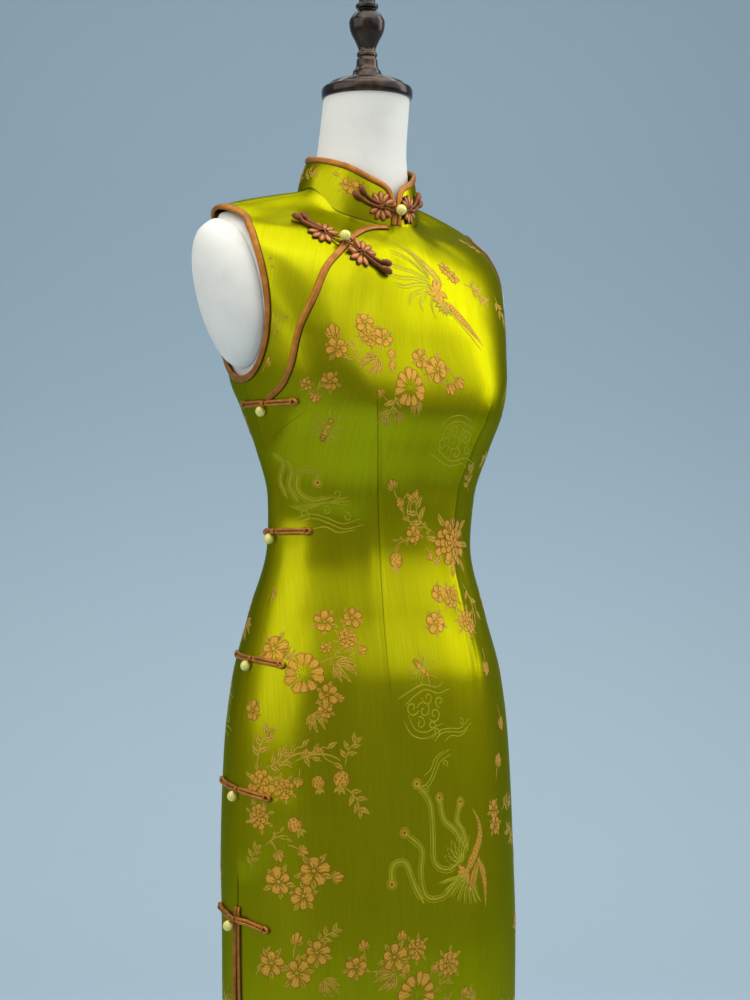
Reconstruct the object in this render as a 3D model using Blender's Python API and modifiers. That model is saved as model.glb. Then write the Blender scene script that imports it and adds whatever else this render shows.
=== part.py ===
"""Sleeveless cheongsam worn by a limbless dress form on a round weighted stand.

Metres, +Z up. The front faces -Y and the wearer's left is +X. The origin is the
middle of the stand's base, on the floor. Heights called rise are measured from
the waist line. Turn is the angle round the figure: 0 at the centre front, a
quarter turn at the wearer's left side and half a turn at the centre back.
"""

import math

import bmesh
import bpy
import numpy as np

# ---------------------------------------------------------------- driving dimensions
WAIST = 1.060
HEM = -0.820
SLIT_TOP = -0.365
SLIT_GAP = 0.026
SLIT_START = 0.0008
SLIT_SPREAD = 1.3
WALL = 0.0015
SEAM = 0.0003
LAP = 0.0027
UNDER = 0.018
LAP_FLAT = 1.25 * UNDER
LAP_FALL = 0.035
LAP_FOOT = -0.290

# Rows and columns of faces in each panel and along its edges.
SKIRT_ROWS = 5
TRUNK_ROWS = 12
SIDE_ROWS = 1
ARMHOLE_ROWS = 10
SHOULDER_ROWS = 4
FRONT_COLUMNS = 20
FRONT_NECK_COLUMNS = 12
BACK_COLUMNS = 18
FLAP_COLUMNS = 7
FLAP_SIDE_ROWS = 4
COLLAR_STEPS = 40
COLLAR_ROWS = 3

# Horizontal sections of the worn dress. front and back are depths from the middle.
SECTION_COLUMNS = ("rise", "half_width", "middle", "front", "back", "front_power", "back_power")
SECTIONS = (
    (-0.840, 0.158, 0.000, 0.120, 0.098, 2.3, 2.3),
    (-0.600, 0.164, 0.000, 0.126, 0.099, 2.3, 2.3),
    (-0.420, 0.168, 0.000, 0.127, 0.099, 2.3, 2.3),
    (-0.300, 0.167, 0.000, 0.120, 0.106, 2.3, 2.3),
    (-0.210, 0.163, 0.000, 0.116, 0.105, 2.3, 2.3),
    (-0.140, 0.153, 0.000, 0.112, 0.103, 2.3, 2.3),
    (-0.070, 0.135, 0.000, 0.096, 0.088, 2.3, 2.3),
    (0.000, 0.119, 0.000, 0.084, 0.063, 2.3, 2.3),
    (0.050, 0.121, 0.000, 0.087, 0.055, 2.4, 2.3),
    (0.100, 0.132, 0.000, 0.100, 0.071, 2.6, 2.3),
    (0.140, 0.142, 0.000, 0.112, 0.092, 2.7, 2.4),
    (0.171, 0.151, 0.002, 0.114, 0.102, 2.7, 2.5),
    (0.210, 0.159, 0.008, 0.114, 0.102, 2.7, 2.5),
    (0.250, 0.168, 0.016, 0.110, 0.094, 2.7, 2.5),
    (0.290, 0.175, 0.024, 0.101, 0.083, 2.6, 2.4),
    (0.318, 0.177, 0.030, 0.084, 0.070, 2.3, 2.2),
    (0.336, 0.172, 0.034, 0.062, 0.058, 2.0, 2.0),
    (0.344, 0.167, 0.035, 0.050, 0.055, 2.0, 2.0),
    (0.353, 0.143, 0.031, 0.038, 0.053, 2.0, 2.0),
    (0.361, 0.110, 0.025, 0.028, 0.052, 2.0, 2.0),
    (0.372, 0.060, 0.017, 0.015, 0.044, 2.0, 2.0),
    (0.385, 0.030, 0.014, 0.010, 0.020, 2.0, 2.0),
)

# Gap between the cloth and the form under it, wider on the sharp turn of the shoulders.
FORM_GAP_COLUMNS = ("rise", "gap")
FORM_GAPS = (
    (-0.310, 0.0021),
    (0.020, 0.0022),
    (0.080, 0.0033),
    (0.300, 0.0033),
    (0.336, 0.0054),
    (0.366, 0.0054),
    (0.480, 0.0020),
)

# The neck is a round column that grows out of the shoulders and leans forward.
NECK_COLUMNS = ("rise", "middle", "radius")
NECK = (
    (0.200, 0.0165, 0.0100),
    (0.310, 0.0165, 0.0615),
    (0.360, 0.0165, 0.0615),
    (0.385, 0.0140, 0.0590),
    (0.418, 0.0088, 0.0530),
    (0.475, 0.0000, 0.0490),
)
NECK_TOP = 0.471
NECK_BLEND = 9
NECK_MIDDLE = 0.0165
NECK_SEAM_RADIUS = 0.0645

BUST_RISE = 0.157
BUST_RISE_SPREAD = 0.055
BUST_TURN = math.radians(38)
BUST_TURN_SPREAD = math.radians(20)
BUST_FULLNESS = 0.006

# Reach runs up the body: a height below the yoke, an angle of elevation above it.
YOKE_RISE = 0.170
YOKE_SPAN = 0.130

# The side seam, and the lapped edge of the front on the wearer's right.
SIDE_COLUMNS = ("rise", "seam", "edge")
SIDES = (
    (-0.840, 90.0, 90.0),
    (0.020, 90.0, 89.0),
    (0.080, 91.0, 87.5),
    (0.127, 93.5, 86.0),
    (0.148, 95.0, 82.5),
    (0.171, 96.5, 70.0),
)
SIDE_OPENING_TOP = 0.148
UNDERARM = 0.171

# The back runs on under the lapped front in a strip, between two of the trunk's rows.
STRIP_WIDTH = 0.8 * UNDER
STRIP_FOOT_ROW = 3
STRIP_TOP_ROW = 10
TRUNK_STEP = (SIDE_OPENING_TOP - SLIT_TOP) / TRUNK_ROWS
STRIP_TOP = SLIT_TOP + TRUNK_STEP * STRIP_TOP_ROW

# The slanted opening, from the side up to the neck seam at the centre front: rise and degrees.
OPENING = (
    (0.148, 82.5),
    (0.161, 73.0),
    (0.178, 68.0),
    (0.212, 63.0),
    (0.244, 56.5),
    (0.279, 50.5),
    (0.296, 45.0),
    (0.311, 39.5),
    (0.3215, 31.0),
    (0.3265, 20.0),
    (0.3285, 10.0),
)
OPENING_TURN_POINT = 8
OPENING_STEPS = 12
OPENING_BINDING_ROWS = 28
OPENING_BINDING_STOP = 6
FLAP_EDGE_STOP = 12
FLAP_EDGE_STEPS = 60
FLAP_END = math.radians(3)

ARMHOLE_RISE = 0.257
ARMHOLE_HALF_HEIGHT = 0.086
ARMHOLE_FOOT_Y = 0.016
ARMHOLE_TOP_Y = 0.0355
ARMHOLE_FRONT = 0.060
ARMHOLE_BACK = 0.055
ARMHOLE_BINDING_ROWS = 28

# Top edge of the collar before its front corners are rounded off.
COLLAR_TOP_COLUMNS = ("degrees", "rise")
COLLAR_TOP = (
    (0.0, 0.3700),
    (25.0, 0.3800),
    (56.0, 0.3950),
    (90.0, 0.4040),
    (130.0, 0.4100),
    (180.0, 0.4120),
)
COLLAR_TOP_RADIUS = 0.0558
COLLAR_TOP_MIDDLE = 0.0106
COLLAR_BOW = 0.0016
COLLAR_CORNER_DROP = 0.62
COLLAR_CORNER_TURN = math.radians(3.2)
COLLAR_END = math.radians(1.0)
COLLAR_LIFT = 0.0010
COLLAR_CROWDING = 1.6
COLLAR_BINDING_START = 0.03

# How far a binding stands past the cloth's edge, and how far it runs over the cloth.
BINDING = (0.0010, 0.0065)
SKIRT_BINDING = (-0.0003, 0.0050)
BINDING_SEAT = 0.0007
BINDING_EDGE = 0.0008
BINDING_CROWN = 0.0019

PETAL_STEPS = 40
PETAL_DEGREES = (42.0, 76.0, 108.0, 142.0)
PETAL_HALF_DEGREES = 17.0
PETAL_LENGTH = 0.0175
PETAL_ROOT = 0.0070
PETAL_HEIGHT = 0.0032
PETAL_SQUARENESS = 0.6
PETAL_GAP_HEIGHT = 0.5

# Rings of a flower from its rim to its middle: share of the petals' length and of their height.
PETAL_RINGS = ((0.94, 0.0), (1.0, 0.35), (0.8, 1.0), (0.4, 0.8), (0.16, 0.9))
FLOWER_OFFSET = 0.0220

# A flower's two stems: how far the knob stands out, how far it bends aside, and its first lane.
STEMS = (
    (0.0330, 0.0125, 0.0019),
    (0.0365, 0.0035, -0.0019),
)
STEM_RADIUS = 0.0015
STEM_START = 0.0092
STEM_STEPS = 6
STEM_SIDES = 6
KNOB_RADIUS = 0.0031
KNOB_TIP_RADIUS = KNOB_RADIUS / 2
BEAD_RADIUS = 0.0057
BEAD_SEGMENTS = 12
BEAD_RINGS = 8
COLLAR_FROG_SHARE = 0.41
COLLAR_FROG_SCALE = 0.86
CHEST_FROG_TURN = math.radians(-43.0)
CHEST_FROG_RISE = 0.3045
CHEST_FROG_HEADING = math.radians(-42.0)
CLIMB_START = 0.009
CLIMB = 0.008

# The side frogs: rise, and how high the cords and the bead sit off the cloth.
SIDE_FROGS = (
    (0.143, 0.0005, 0.0006),
    (0.013, 0.0009, 0.0016),
    (-0.117, 0.0003, 0.0005),
    (-0.247, 0.0003, 0.0005),
    (-0.377, 0.0004, 0.0005),
)
ARM_CORD = 0.0015
ARM_SEAT = 0.0007
ARM_SIDES = 8

# Two cords side by side: their width and height where they touch, and what the cords add.
TWIN_WIDTH = (1.25, 0.75)
TWIN_HEIGHT = (0.72, 0.28)

# Stations along a side frog's arm: distance out from the lapped edge, and size.
PLAIN_ARM = ((0.0034, 1.0), (0.014, 1.0), (0.024, 1.0), (0.034, 1.0), (0.044, 1.0), (0.045, 0.6))
KNOTTED_ARM = ((-0.003, 0.8), (-0.0015, 1.5), (0.0015, 1.6), (0.0036, 1.1)) + PLAIN_ARM[1:]
SIDE_BEAD_RADIUS = 0.0048
SIDE_BEAD_BACK = 0.0059
SIDE_BEAD_DROP = 0.0073
BEAD_SETTLE = 0.0008

FORM_COLUMNS = 32
FORM_ROWS = 10
FORM_YOKE_ROWS = 14
FORM_NECK_ROWS = 4
FORM_FOOT = SIDE_OPENING_TOP - TRUNK_STEP * FORM_ROWS
FORM_FOOT_INSET = 0.010
FORM_FOOT_FALL = 0.006
PLATE_STEPS = 24
PLATE_SCALE = 0.91
PLATE_SEAT = 0.0013
PLATE_BULGE = 0.026
PLATE_SEAT_RINGS = (0.4, 0.8, 1.0)
PLATE_DOME_RINGS = (0.97, 0.87, 0.68, 0.42, 0.14)
PLATE_ROUNDNESS = 3.0

# Turned profiles, radius and height, each from the middle of its top down to its foot.
TURNED_STEPS = 20
BASE_STEPS = 40
CAP_HEIGHT = 0.030
CAP_PROFILE = (
    (0.0, CAP_HEIGHT),
    (0.0148, CAP_HEIGHT),
    (0.0152, 0.027),
    (0.0190, 0.0215),
    (0.0350, 0.0185),
    (0.0395, 0.0165),
    (0.0425, 0.0125),
    (0.0470, 0.0115),
    (0.0482, 0.0090),
    (0.0482, 0.0020),
    (0.0470, 0.0),
    (0.0, 0.0),
)
FINIAL_PROFILE = (
    (0.0, 0.104),
    (0.0060, 0.1025),
    (0.0098, 0.0975),
    (0.0098, 0.0915),
    (0.0060, 0.0865),
    (0.0082, 0.0790),
    (0.0090, 0.0715),
    (0.0120, 0.0695),
    (0.0120, 0.0665),
    (0.0092, 0.0645),
    (0.0150, 0.0590),
    (0.0190, 0.0510),
    (0.0178, 0.0420),
    (0.0125, 0.0310),
    (0.0088, 0.0215),
    (0.0108, 0.0180),
    (0.0108, 0.0155),
    (0.0095, 0.0140),
    (0.0112, 0.0105),
    (0.0112, 0.0075),
    (0.0120, 0.0030),
    (0.0140, 0.0),
    (0.0, 0.0),
)
BASE_HEIGHT = 0.030
BASE_PROFILE = (
    (0.0, BASE_HEIGHT),
    (0.034, BASE_HEIGHT),
    (0.040, 0.022),
    (0.120, 0.017),
    (0.180, 0.014),
    (0.188, 0.010),
    (0.190, 0.005),
    (0.188, 0.0),
    (0.0, 0.0),
)
POLE_RADIUS = 0.016

# Top of the pole, heights measured down from the foot of the form.
POLE_HEAD_PROFILE = (
    (0.0, 0.0),
    (0.030, 0.0),
    (0.030, -0.006),
    (0.019, -0.030),
    (POLE_RADIUS, -0.034),
)

# Ranges in which a rise or a turn is searched for by halving, and how often it is halved.
NECKLINE_RANGE = (0.29, 0.44)
SIDE_TURN_RANGE = (math.radians(15), math.radians(165))
HALVINGS = 42

QUARTER = math.pi / 2
FULL = 2 * math.pi


# ---------------------------------------------------------------- scene and materials
def clear_scene():
    """Remove every object from the scene."""
    for old in list(bpy.data.objects):
        bpy.data.objects.remove(old, do_unlink=True)


def new_collection(name):
    """Add a collection to the scene."""
    collection = bpy.data.collections.new(name)
    bpy.context.scene.collection.children.link(collection)
    return collection


def material(name, colour, roughness, metallic=0.0):
    """Principled material in one plain colour."""
    made = bpy.data.materials.new(name)
    made.use_nodes = True
    shader = made.node_tree.nodes["Principled BSDF"]
    shader.inputs["Base Color"].default_value = (*colour, 1.0)
    shader.inputs["Roughness"].default_value = roughness
    shader.inputs["Metallic"].default_value = metallic
    return made


def mesh_object(name, points, faces, finish):
    """Mesh object with outward faces, in the dress collection."""
    mesh = bpy.data.meshes.new(name)
    mesh.from_pydata([tuple(point) for point in points], [], faces)
    shape = bmesh.new()
    shape.from_mesh(mesh)
    bmesh.ops.recalc_face_normals(shape, faces=shape.faces)
    shape.to_mesh(mesh)
    shape.free()
    mesh.materials.append(finish)
    mesh.shade_smooth()
    mesh.set_sharp_from_angle(angle=math.radians(40))
    made = bpy.data.objects.new(name, mesh)
    PARTS.objects.link(made)
    return made


# ---------------------------------------------------------------- the worn surface
def curve_value(table, column, at):
    """Read a column of a table on a smooth curve that never overshoots its rows."""
    rows = np.array(table)
    station = rows[:, 0]
    value = rows[:, column]
    step = np.diff(station)
    rate = np.diff(value) / step
    agree = rate[:-1] * rate[1:] > 0
    total = np.where(agree, rate[:-1] + rate[1:], 1.0)
    inner = np.where(agree, 2 * rate[:-1] * rate[1:] / total, 0.0)
    slope = np.concatenate(([rate[0]], inner, [rate[-1]]))
    at = np.clip(at, station[0], station[-1])
    low = np.clip(np.searchsorted(station, at) - 1, 0, len(station) - 2)
    part = (at - station[low]) / step[low]
    rest = 1 - part
    start = (1 + 2 * part) * rest**2 * value[low] + part * rest**2 * step[low] * slope[low]
    end = part**2 * (3 - 2 * part) * value[low + 1] - part**2 * rest * step[low] * slope[low + 1]
    return start + end


def section(name, rise):
    """Read one size of the body section at each rise."""
    return curve_value(SECTIONS, SECTION_COLUMNS.index(name), rise)


def neck(name, rise):
    """Read one size of the neck column at each rise."""
    return curve_value(NECK, NECK_COLUMNS.index(name), rise)


def torso_radius(turn, rise):
    """Radius of the torso section, with the bust, from the section's middle."""
    side = np.abs(np.sin(turn))
    ahead = np.cos(turn)
    facing = ahead > 0
    depth = np.where(facing, section("front", rise), section("back", rise))
    power = np.where(facing, section("front_power", rise), section("back_power", rise))
    across = (side / section("half_width", rise)) ** power
    along = (np.abs(ahead) / depth) ** power
    off_turn = (np.abs((turn + math.pi) % FULL - math.pi) - BUST_TURN) / BUST_TURN_SPREAD
    off_rise = (rise - BUST_RISE) / BUST_RISE_SPREAD
    return (across + along) ** (-1 / power) + BUST_FULLNESS * np.exp(-(off_turn**2) - off_rise**2)


def neck_radius(turn, rise):
    """Distance from the section's middle to the neck column, in the direction of turn."""
    offset = neck("middle", rise) - section("middle", rise)
    forward = -offset * np.cos(turn)
    inside = forward**2 - offset**2 + neck("radius", rise) ** 2
    return forward + np.sqrt(np.maximum(inside, 1e-8))


def skin_radius(turn, rise):
    """Radius of the worn surface, where neck and shoulders run into each other."""
    torso = torso_radius(turn, rise)
    column = neck_radius(turn, rise)
    return (torso**NECK_BLEND + column**NECK_BLEND) ** (1 / NECK_BLEND)


def skin(turn, rise):
    """Points of the outer face of the cloth."""
    turn, rise = np.broadcast_arrays(np.asarray(turn, float), np.asarray(rise, float))
    radius = skin_radius(turn, rise)
    depth = section("middle", rise) - radius * np.cos(turn)
    return np.stack([radius * np.sin(turn), depth, WAIST + rise], -1)


def reach_of(turn, rise):
    """Reach of a point that is given by its rise."""
    turn, rise = np.broadcast_arrays(np.asarray(turn, float), np.asarray(rise, float))
    above = rise - YOKE_RISE
    elevation = YOKE_SPAN * np.arctan2(above, skin_radius(turn, rise))
    return np.where(above < 0, above, elevation)


def halve(too_low, low, high):
    """Bisect between two arrays; too_low tells where the answer lies above."""
    for _ in range(HALVINGS):
        middle = (low + high) / 2
        below = too_low(middle)
        low = np.where(below, middle, low)
        high = np.where(below, high, middle)
    return (low + high) / 2


def rise_of(turn, reach):
    """Rise of a point that is given by its reach."""
    turn, reach = np.broadcast_arrays(np.asarray(turn, float), np.asarray(reach, float))
    low = np.full(reach.shape, YOKE_RISE)
    high = np.full(reach.shape, NECK[-1][0])
    upper = halve(lambda rise: reach_of(turn, rise) < reach, low, high)
    return np.where(reach < 0, reach + YOKE_RISE, upper)


def collar(turn, share):
    """Point of the collar: share runs from its neck seam to its top edge."""
    turn, share = np.broadcast_arrays(np.asarray(turn, float), np.asarray(share, float))
    around = np.abs((turn + math.pi) % FULL - math.pi)
    top_rise = curve_value(COLLAR_TOP, COLLAR_TOP_COLUMNS.index("rise"), np.degrees(around))
    foot_rise = np.interp(around, *NECK_SEAM_RISES) + COLLAR_LIFT
    bow = COLLAR_BOW * 4 * share * (1 - share)
    radius = NECK_SEAM_RADIUS + (COLLAR_TOP_RADIUS - NECK_SEAM_RADIUS) * share + bow
    middle = NECK_MIDDLE + (COLLAR_TOP_MIDDLE - NECK_MIDDLE) * share
    rise = foot_rise + (top_rise - foot_rise) * share
    return np.stack([radius * np.sin(turn), middle - radius * np.cos(turn), WAIST + rise], -1)


def collar_top(turn):
    """Share of the collar's height at its top edge, which falls away at the front corners."""
    around = np.abs((turn + math.pi) % FULL - math.pi)
    return 1 - COLLAR_CORNER_DROP * np.exp(-around / COLLAR_CORNER_TURN)


def neckline_rise(turn):
    """Rise at which the worn surface passes the neck seam's circle."""
    turn = np.asarray(turn, float)

    def outside(rise):
        point = skin(turn, rise)
        return np.hypot(point[..., 0], point[..., 1] - NECK_MIDDLE) > NECK_SEAM_RADIUS

    low, high = NECKLINE_RANGE
    return halve(outside, np.full(turn.shape, low), np.full(turn.shape, high))


def neck_seam_rises():
    """Angle about the neck's middle, and rise, along half of the neck seam."""
    turn = np.linspace(0, math.pi, 181)
    rise = neckline_rise(turn)
    point = skin(turn, rise)
    return np.arctan2(point[:, 0], NECK_MIDDLE - point[:, 1]), rise


NECK_SEAM_RISES = neck_seam_rises()


def partials(surface, along, across):
    """Rates of change of a surface in its two directions."""
    step = 1e-4
    first = (surface(along + step, across) - surface(along - step, across)) / (2 * step)
    second = (surface(along, across + step) - surface(along, across - step)) / (2 * step)
    return first, second


def unit(vectors):
    """Scale vectors to length one."""
    return vectors / np.linalg.norm(vectors, axis=-1, keepdims=True)


def lifted(surface, along, across, lift):
    """Points of a surface, moved out along its normal."""
    first, second = partials(surface, along, across)
    normal = unit(np.cross(first, second))
    return surface(along, across) + normal * np.asarray(lift, float)[..., None]


def stepped(surface, path, move):
    """Places reached from a path's places by short moves that lie in the surface."""
    first, second = partials(surface, path[:, 0], path[:, 1])
    aa = np.sum(first * first, -1)
    ab = np.sum(first * second, -1)
    bb = np.sum(second * second, -1)
    am = np.sum(first * move, -1)
    bm = np.sum(second * move, -1)
    scale = aa * bb - ab * ab
    return path + np.stack([(am * bb - bm * ab) / scale, (bm * aa - am * ab) / scale], -1)


def shifted(surface, path, distance):
    """Move a path sideways in its surface, to the left of its own direction."""
    points = surface(path[:, 0], path[:, 1])
    tangent = np.gradient(points, axis=0)
    if np.linalg.norm(points[0] - points[-1]) < 1e-6:
        tangent[0] = tangent[-1] = points[1] - points[-2]
    place = path
    for _ in range(4):
        first, second = partials(surface, place[:, 0], place[:, 1])
        sideways = unit(np.cross(np.cross(first, second), tangent))
        place = stepped(surface, place, sideways * distance / 4)
    return place


def wrapped(surface, anchor, heading, points, lift_of):
    """Lay flat points (out, across, up) on a surface from an anchor, along a heading."""
    steps = 8
    place = np.tile(np.array(anchor, float), (len(points), 1))
    level = points[:, 0] * math.cos(heading) - points[:, 1] * math.sin(heading)
    upward = points[:, 0] * math.sin(heading) + points[:, 1] * math.cos(heading)
    for _ in range(steps):
        first, second = partials(surface, place[:, 0], place[:, 1])
        round_body = unit(first)
        up_body = unit(np.cross(np.cross(first, second), first))
        move = round_body * level[:, None] + up_body * upward[:, None]
        place = stepped(surface, place, move / steps)
    return lifted(surface, place[:, 0], place[:, 1], points[:, 2] + lift_of(place))


def evenly(surface, path, count):
    """Resample a path at count equal steps of its length."""
    points = surface(path[:, 0], path[:, 1])
    length = np.concatenate(([0], np.cumsum(np.linalg.norm(np.diff(points, axis=0), axis=1))))
    wanted = np.linspace(0, length[-1], count + 1)
    return np.stack([np.interp(wanted, length, path[:, k]) for k in range(2)], -1)


def joined(*paths):
    """Join paths end to end, keeping each shared point once."""
    return np.concatenate([paths[0]] + [path[1:] for path in paths[1:]])


# ---------------------------------------------------------------- edges of the pieces
def side_path(column, sign, low, high, count):
    """Path up a side: the seam, or the lapped edge, in degrees from the centre front."""
    rise = np.linspace(low, high, count + 1)
    turn = np.radians(curve_value(SIDES, SIDE_COLUMNS.index(column), rise))
    return np.stack([sign * turn, rise], -1)


def slit_path(sign, low, count):
    """Path up a slit's edge, which stands back further towards the hem."""
    rise = np.linspace(low, SLIT_TOP, count + 1)
    half_gap = SLIT_START + SLIT_GAP / 2 * ((SLIT_TOP - rise) / (SLIT_TOP - HEM)) ** SLIT_SPREAD
    turn = sign * (QUARTER - half_gap / section("half_width", rise))
    return np.stack([turn, rise], -1)


def mirror_back(path):
    """Carry a path from the front to the same place on the back."""
    return np.stack([math.pi - path[:, 0], path[:, 1]], -1)


def inset(path, amount):
    """Move a path round the body by a seam's half gap."""
    turn = path[:, 0] + amount / skin_radius(path[:, 0], path[:, 1])
    return np.stack([turn, path[:, 1]], -1)


def armhole_depth(angle, rise):
    """Depth in Y of an armhole's edge at an angle round it."""
    part = (rise - UNDERARM) / (2 * ARMHOLE_HALF_HEIGHT)
    middle = ARMHOLE_FOOT_Y + (ARMHOLE_TOP_Y - ARMHOLE_FOOT_Y) * part
    return middle - np.where(np.sin(angle) > 0, ARMHOLE_FRONT, ARMHOLE_BACK) * np.sin(angle)


def armhole_path(sign, start, end, count):
    """Path on an armhole; its angle is 0 at the shoulder, half a turn at the underarm."""
    angle = np.linspace(start, end, 8 * count + 1)
    rise = ARMHOLE_RISE + ARMHOLE_HALF_HEIGHT * np.cos(angle)
    turn = sign * side_turn(armhole_depth(angle, rise), rise)
    return evenly(skin, np.stack([turn, rise], -1), count)


def side_turn(depth, rise):
    """Turn, on the wearer's left, at which the surface has the given depth in Y."""
    low, high = (np.full(rise.shape, limit) for limit in SIDE_TURN_RANGE)
    return halve(lambda turn: skin(turn, rise)[..., 1] < depth, low, high)


def shoulder_path(sign, count):
    """Path up the shoulder seam, from the armhole to the neck seam."""
    turn = sign * QUARTER
    tip = ARMHOLE_RISE + ARMHOLE_HALF_HEIGHT
    rise = np.linspace(tip, float(neckline_rise(turn)), 8 * count + 1)
    path = np.stack([np.full(rise.shape, turn), rise], -1)
    return evenly(skin, path, count)


def neckline_path(start, end, count):
    """Path round the neck seam between two turns."""
    turn = np.linspace(start, end, 8 * count + 1)
    path = np.stack([turn, neckline_rise(turn)], -1)
    return evenly(skin, path, count)


def smooth_path(knots, count):
    """Smooth path through a few points of a surface."""
    knots = np.array(knots)
    span = np.concatenate(([0], np.cumsum(np.linalg.norm(np.diff(knots, axis=0), axis=1))))
    at = np.linspace(0, span[-1], 12 * count + 1)
    values = []
    for k in range(2):
        table = np.stack([span, knots[:, k]], -1)
        values.append(curve_value(table, 1, at))
    return np.stack(values, -1)


def opening_knots():
    """Corner points of the slanted opening, ending at the neck seam."""
    knots = [(-math.radians(degrees), rise) for rise, degrees in OPENING]
    knots.append((0.0, float(neckline_rise(0.0))))
    return knots


# ---------------------------------------------------------------- panels
def patch(left, right, bottom, top):
    """Fill four edges of a panel with a grid of turns and rises, evenly in reach."""
    left, right, bottom, top = (with_reach(edge) for edge in (left, right, bottom, top))
    rows = len(left)
    columns = len(bottom)
    across = np.linspace(0, 1, columns)[None, :, None]
    up = np.linspace(0, 1, rows)[:, None, None]
    sides = (1 - across) * left[:, None] + across * right[:, None]
    ends = (1 - up) * bottom[None, :] + up * top[None, :]
    low = (1 - across) * left[0] + across * right[0]
    high = (1 - across) * left[-1] + across * right[-1]
    grid = sides + ends - (1 - up) * low - up * high
    return np.stack([grid[..., 0], rise_of(grid[..., 0], grid[..., 1])], -1)


def with_reach(path):
    """Give a path's places by reach instead of rise."""
    return np.stack([path[:, 0], reach_of(path[:, 0], path[:, 1])], -1)


def sheet_faces(rows, columns):
    """Faces of a closed wall: an outer grid, an inner grid and the rim between."""
    inner = rows * columns
    faces = []
    for row in range(rows - 1):
        for column in range(columns - 1):
            first = row * columns + column
            quad = (first, first + 1, first + columns + 1, first + columns)
            faces.append(quad)
            faces.append(tuple(inner + corner for corner in reversed(quad)))
    rim = [column for column in range(columns)]
    rim += [row * columns + columns - 1 for row in range(1, rows)]
    rim += [(rows - 1) * columns + column for column in range(columns - 2, -1, -1)]
    rim += [row * columns for row in range(rows - 2, 0, -1)]
    for here, following in zip(rim, rim[1:] + rim[:1]):
        faces.append((following, here, inner + here, inner + following))
    return faces


def wall(name, surface, grid, lift, finish):
    """Cloth wall on a surface, from a grid of its points and the lift of its outer face."""
    along, across = grid[..., 0], grid[..., 1]
    lift = np.broadcast_to(lift, along.shape)
    outer = lifted(surface, along, across, lift)
    inner = lifted(surface, along, across, lift - WALL)
    points = np.concatenate([outer.reshape(-1, 3), inner.reshape(-1, 3)])
    return mesh_object(name, points, sheet_faces(*along.shape), finish)


def lap_at(distance):
    """Lift of the front panel at a distance from its lapped edge."""
    part = np.clip((distance - LAP_FLAT) / LAP_FALL, 0, 1)
    return LAP * (1 - part * part * (3 - 2 * part))


def lap_lift(grid):
    """Lift of the front panel, which rises to lie over the flap beneath its edge."""
    points = skin(grid[..., 0], grid[..., 1])
    edge = lapped_edge()
    edge = edge[edge[:, 1] > LAP_FOOT]
    line = skin(edge[:, 0], edge[:, 1])
    gaps = np.linalg.norm(points[..., None, :] - line, axis=-1).min(axis=-1)
    return lap_at(gaps)


def seam_path(count):
    """Path up the left side seam, from the top of the slit to the underarm."""
    trunk = side_path("seam", 1, SLIT_TOP, SIDE_OPENING_TOP, count)
    return joined(trunk, side_path("seam", 1, SIDE_OPENING_TOP, UNDERARM, SIDE_ROWS))


def front_side_edge():
    """Left edge of the front: slit, side seam, armhole and shoulder."""
    return joined(
        slit_path(1, HEM, SKIRT_ROWS),
        inset(seam_path(TRUNK_ROWS), -SEAM / 2),
        armhole_path(1, math.pi, 0, ARMHOLE_ROWS),
        inset(shoulder_path(1, SHOULDER_ROWS), -SEAM / 2),
    )


def back_side_edge():
    """Left edge of the back: slit, side seam, armhole and shoulder."""
    return joined(
        mirror_back(slit_path(1, HEM, SKIRT_ROWS)),
        inset(seam_path(TRUNK_ROWS), SEAM / 2),
        armhole_path(1, -math.pi, 0, ARMHOLE_ROWS),
        inset(shoulder_path(1, SHOULDER_ROWS), SEAM / 2),
    )


def opening_path():
    """Slanted opening, split where it turns to run along the neck seam."""
    knots = opening_knots()
    whole = smooth_path(knots, OPENING_STEPS)
    corner = np.argmin(np.abs(whole[:, 0] - knots[OPENING_TURN_POINT][0]))
    return whole[: corner + 1], whole[corner:]


def lapped_edge():
    """Edge of the front that laps over: up the side, then the slanted opening."""
    side = side_path("edge", -1, SLIT_TOP, SIDE_OPENING_TOP, 4 * TRUNK_ROWS)
    slant, level = opening_path()
    return joined(side, slant, level)


def front_edges():
    """Four edges of the front panel."""
    slant, level = opening_path()
    slant_rows = SIDE_ROWS + ARMHOLE_ROWS + SHOULDER_ROWS
    left = joined(
        slit_path(-1, HEM, SKIRT_ROWS),
        side_path("edge", -1, SLIT_TOP, SIDE_OPENING_TOP, TRUNK_ROWS),
        evenly(skin, slant, slant_rows),
    )
    right = front_side_edge()
    neck_turn = QUARTER - SEAM / 2 / NECK_SEAM_RADIUS
    top = joined(
        evenly(skin, level, FRONT_COLUMNS - FRONT_NECK_COLUMNS),
        neckline_path(0.0, neck_turn, FRONT_NECK_COLUMNS),
    )
    return left, right, hem_path(left[0], right[0], FRONT_COLUMNS), top


def hem_path(start, end, count):
    """Level path along the hem."""
    turn = np.linspace(start[0], end[0], 8 * count + 1)
    path = np.stack([turn, np.full(turn.shape, HEM)], -1)
    return evenly(skin, path, count)


def back_edges():
    """Four edges of the back panel, with its strip under the front on the right."""
    left = back_side_edge()
    right = np.stack([FULL - left[:, 0], left[:, 1]], -1)
    strip = slice(SKIRT_ROWS + STRIP_FOOT_ROW, SKIRT_ROWS + STRIP_TOP_ROW + 1)
    right[strip] = inset(right[strip], STRIP_WIDTH)
    top = neckline_path(left[-1][0], right[-1][0], BACK_COLUMNS)
    return left, right, hem_path(left[0], right[0], BACK_COLUMNS), top


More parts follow.
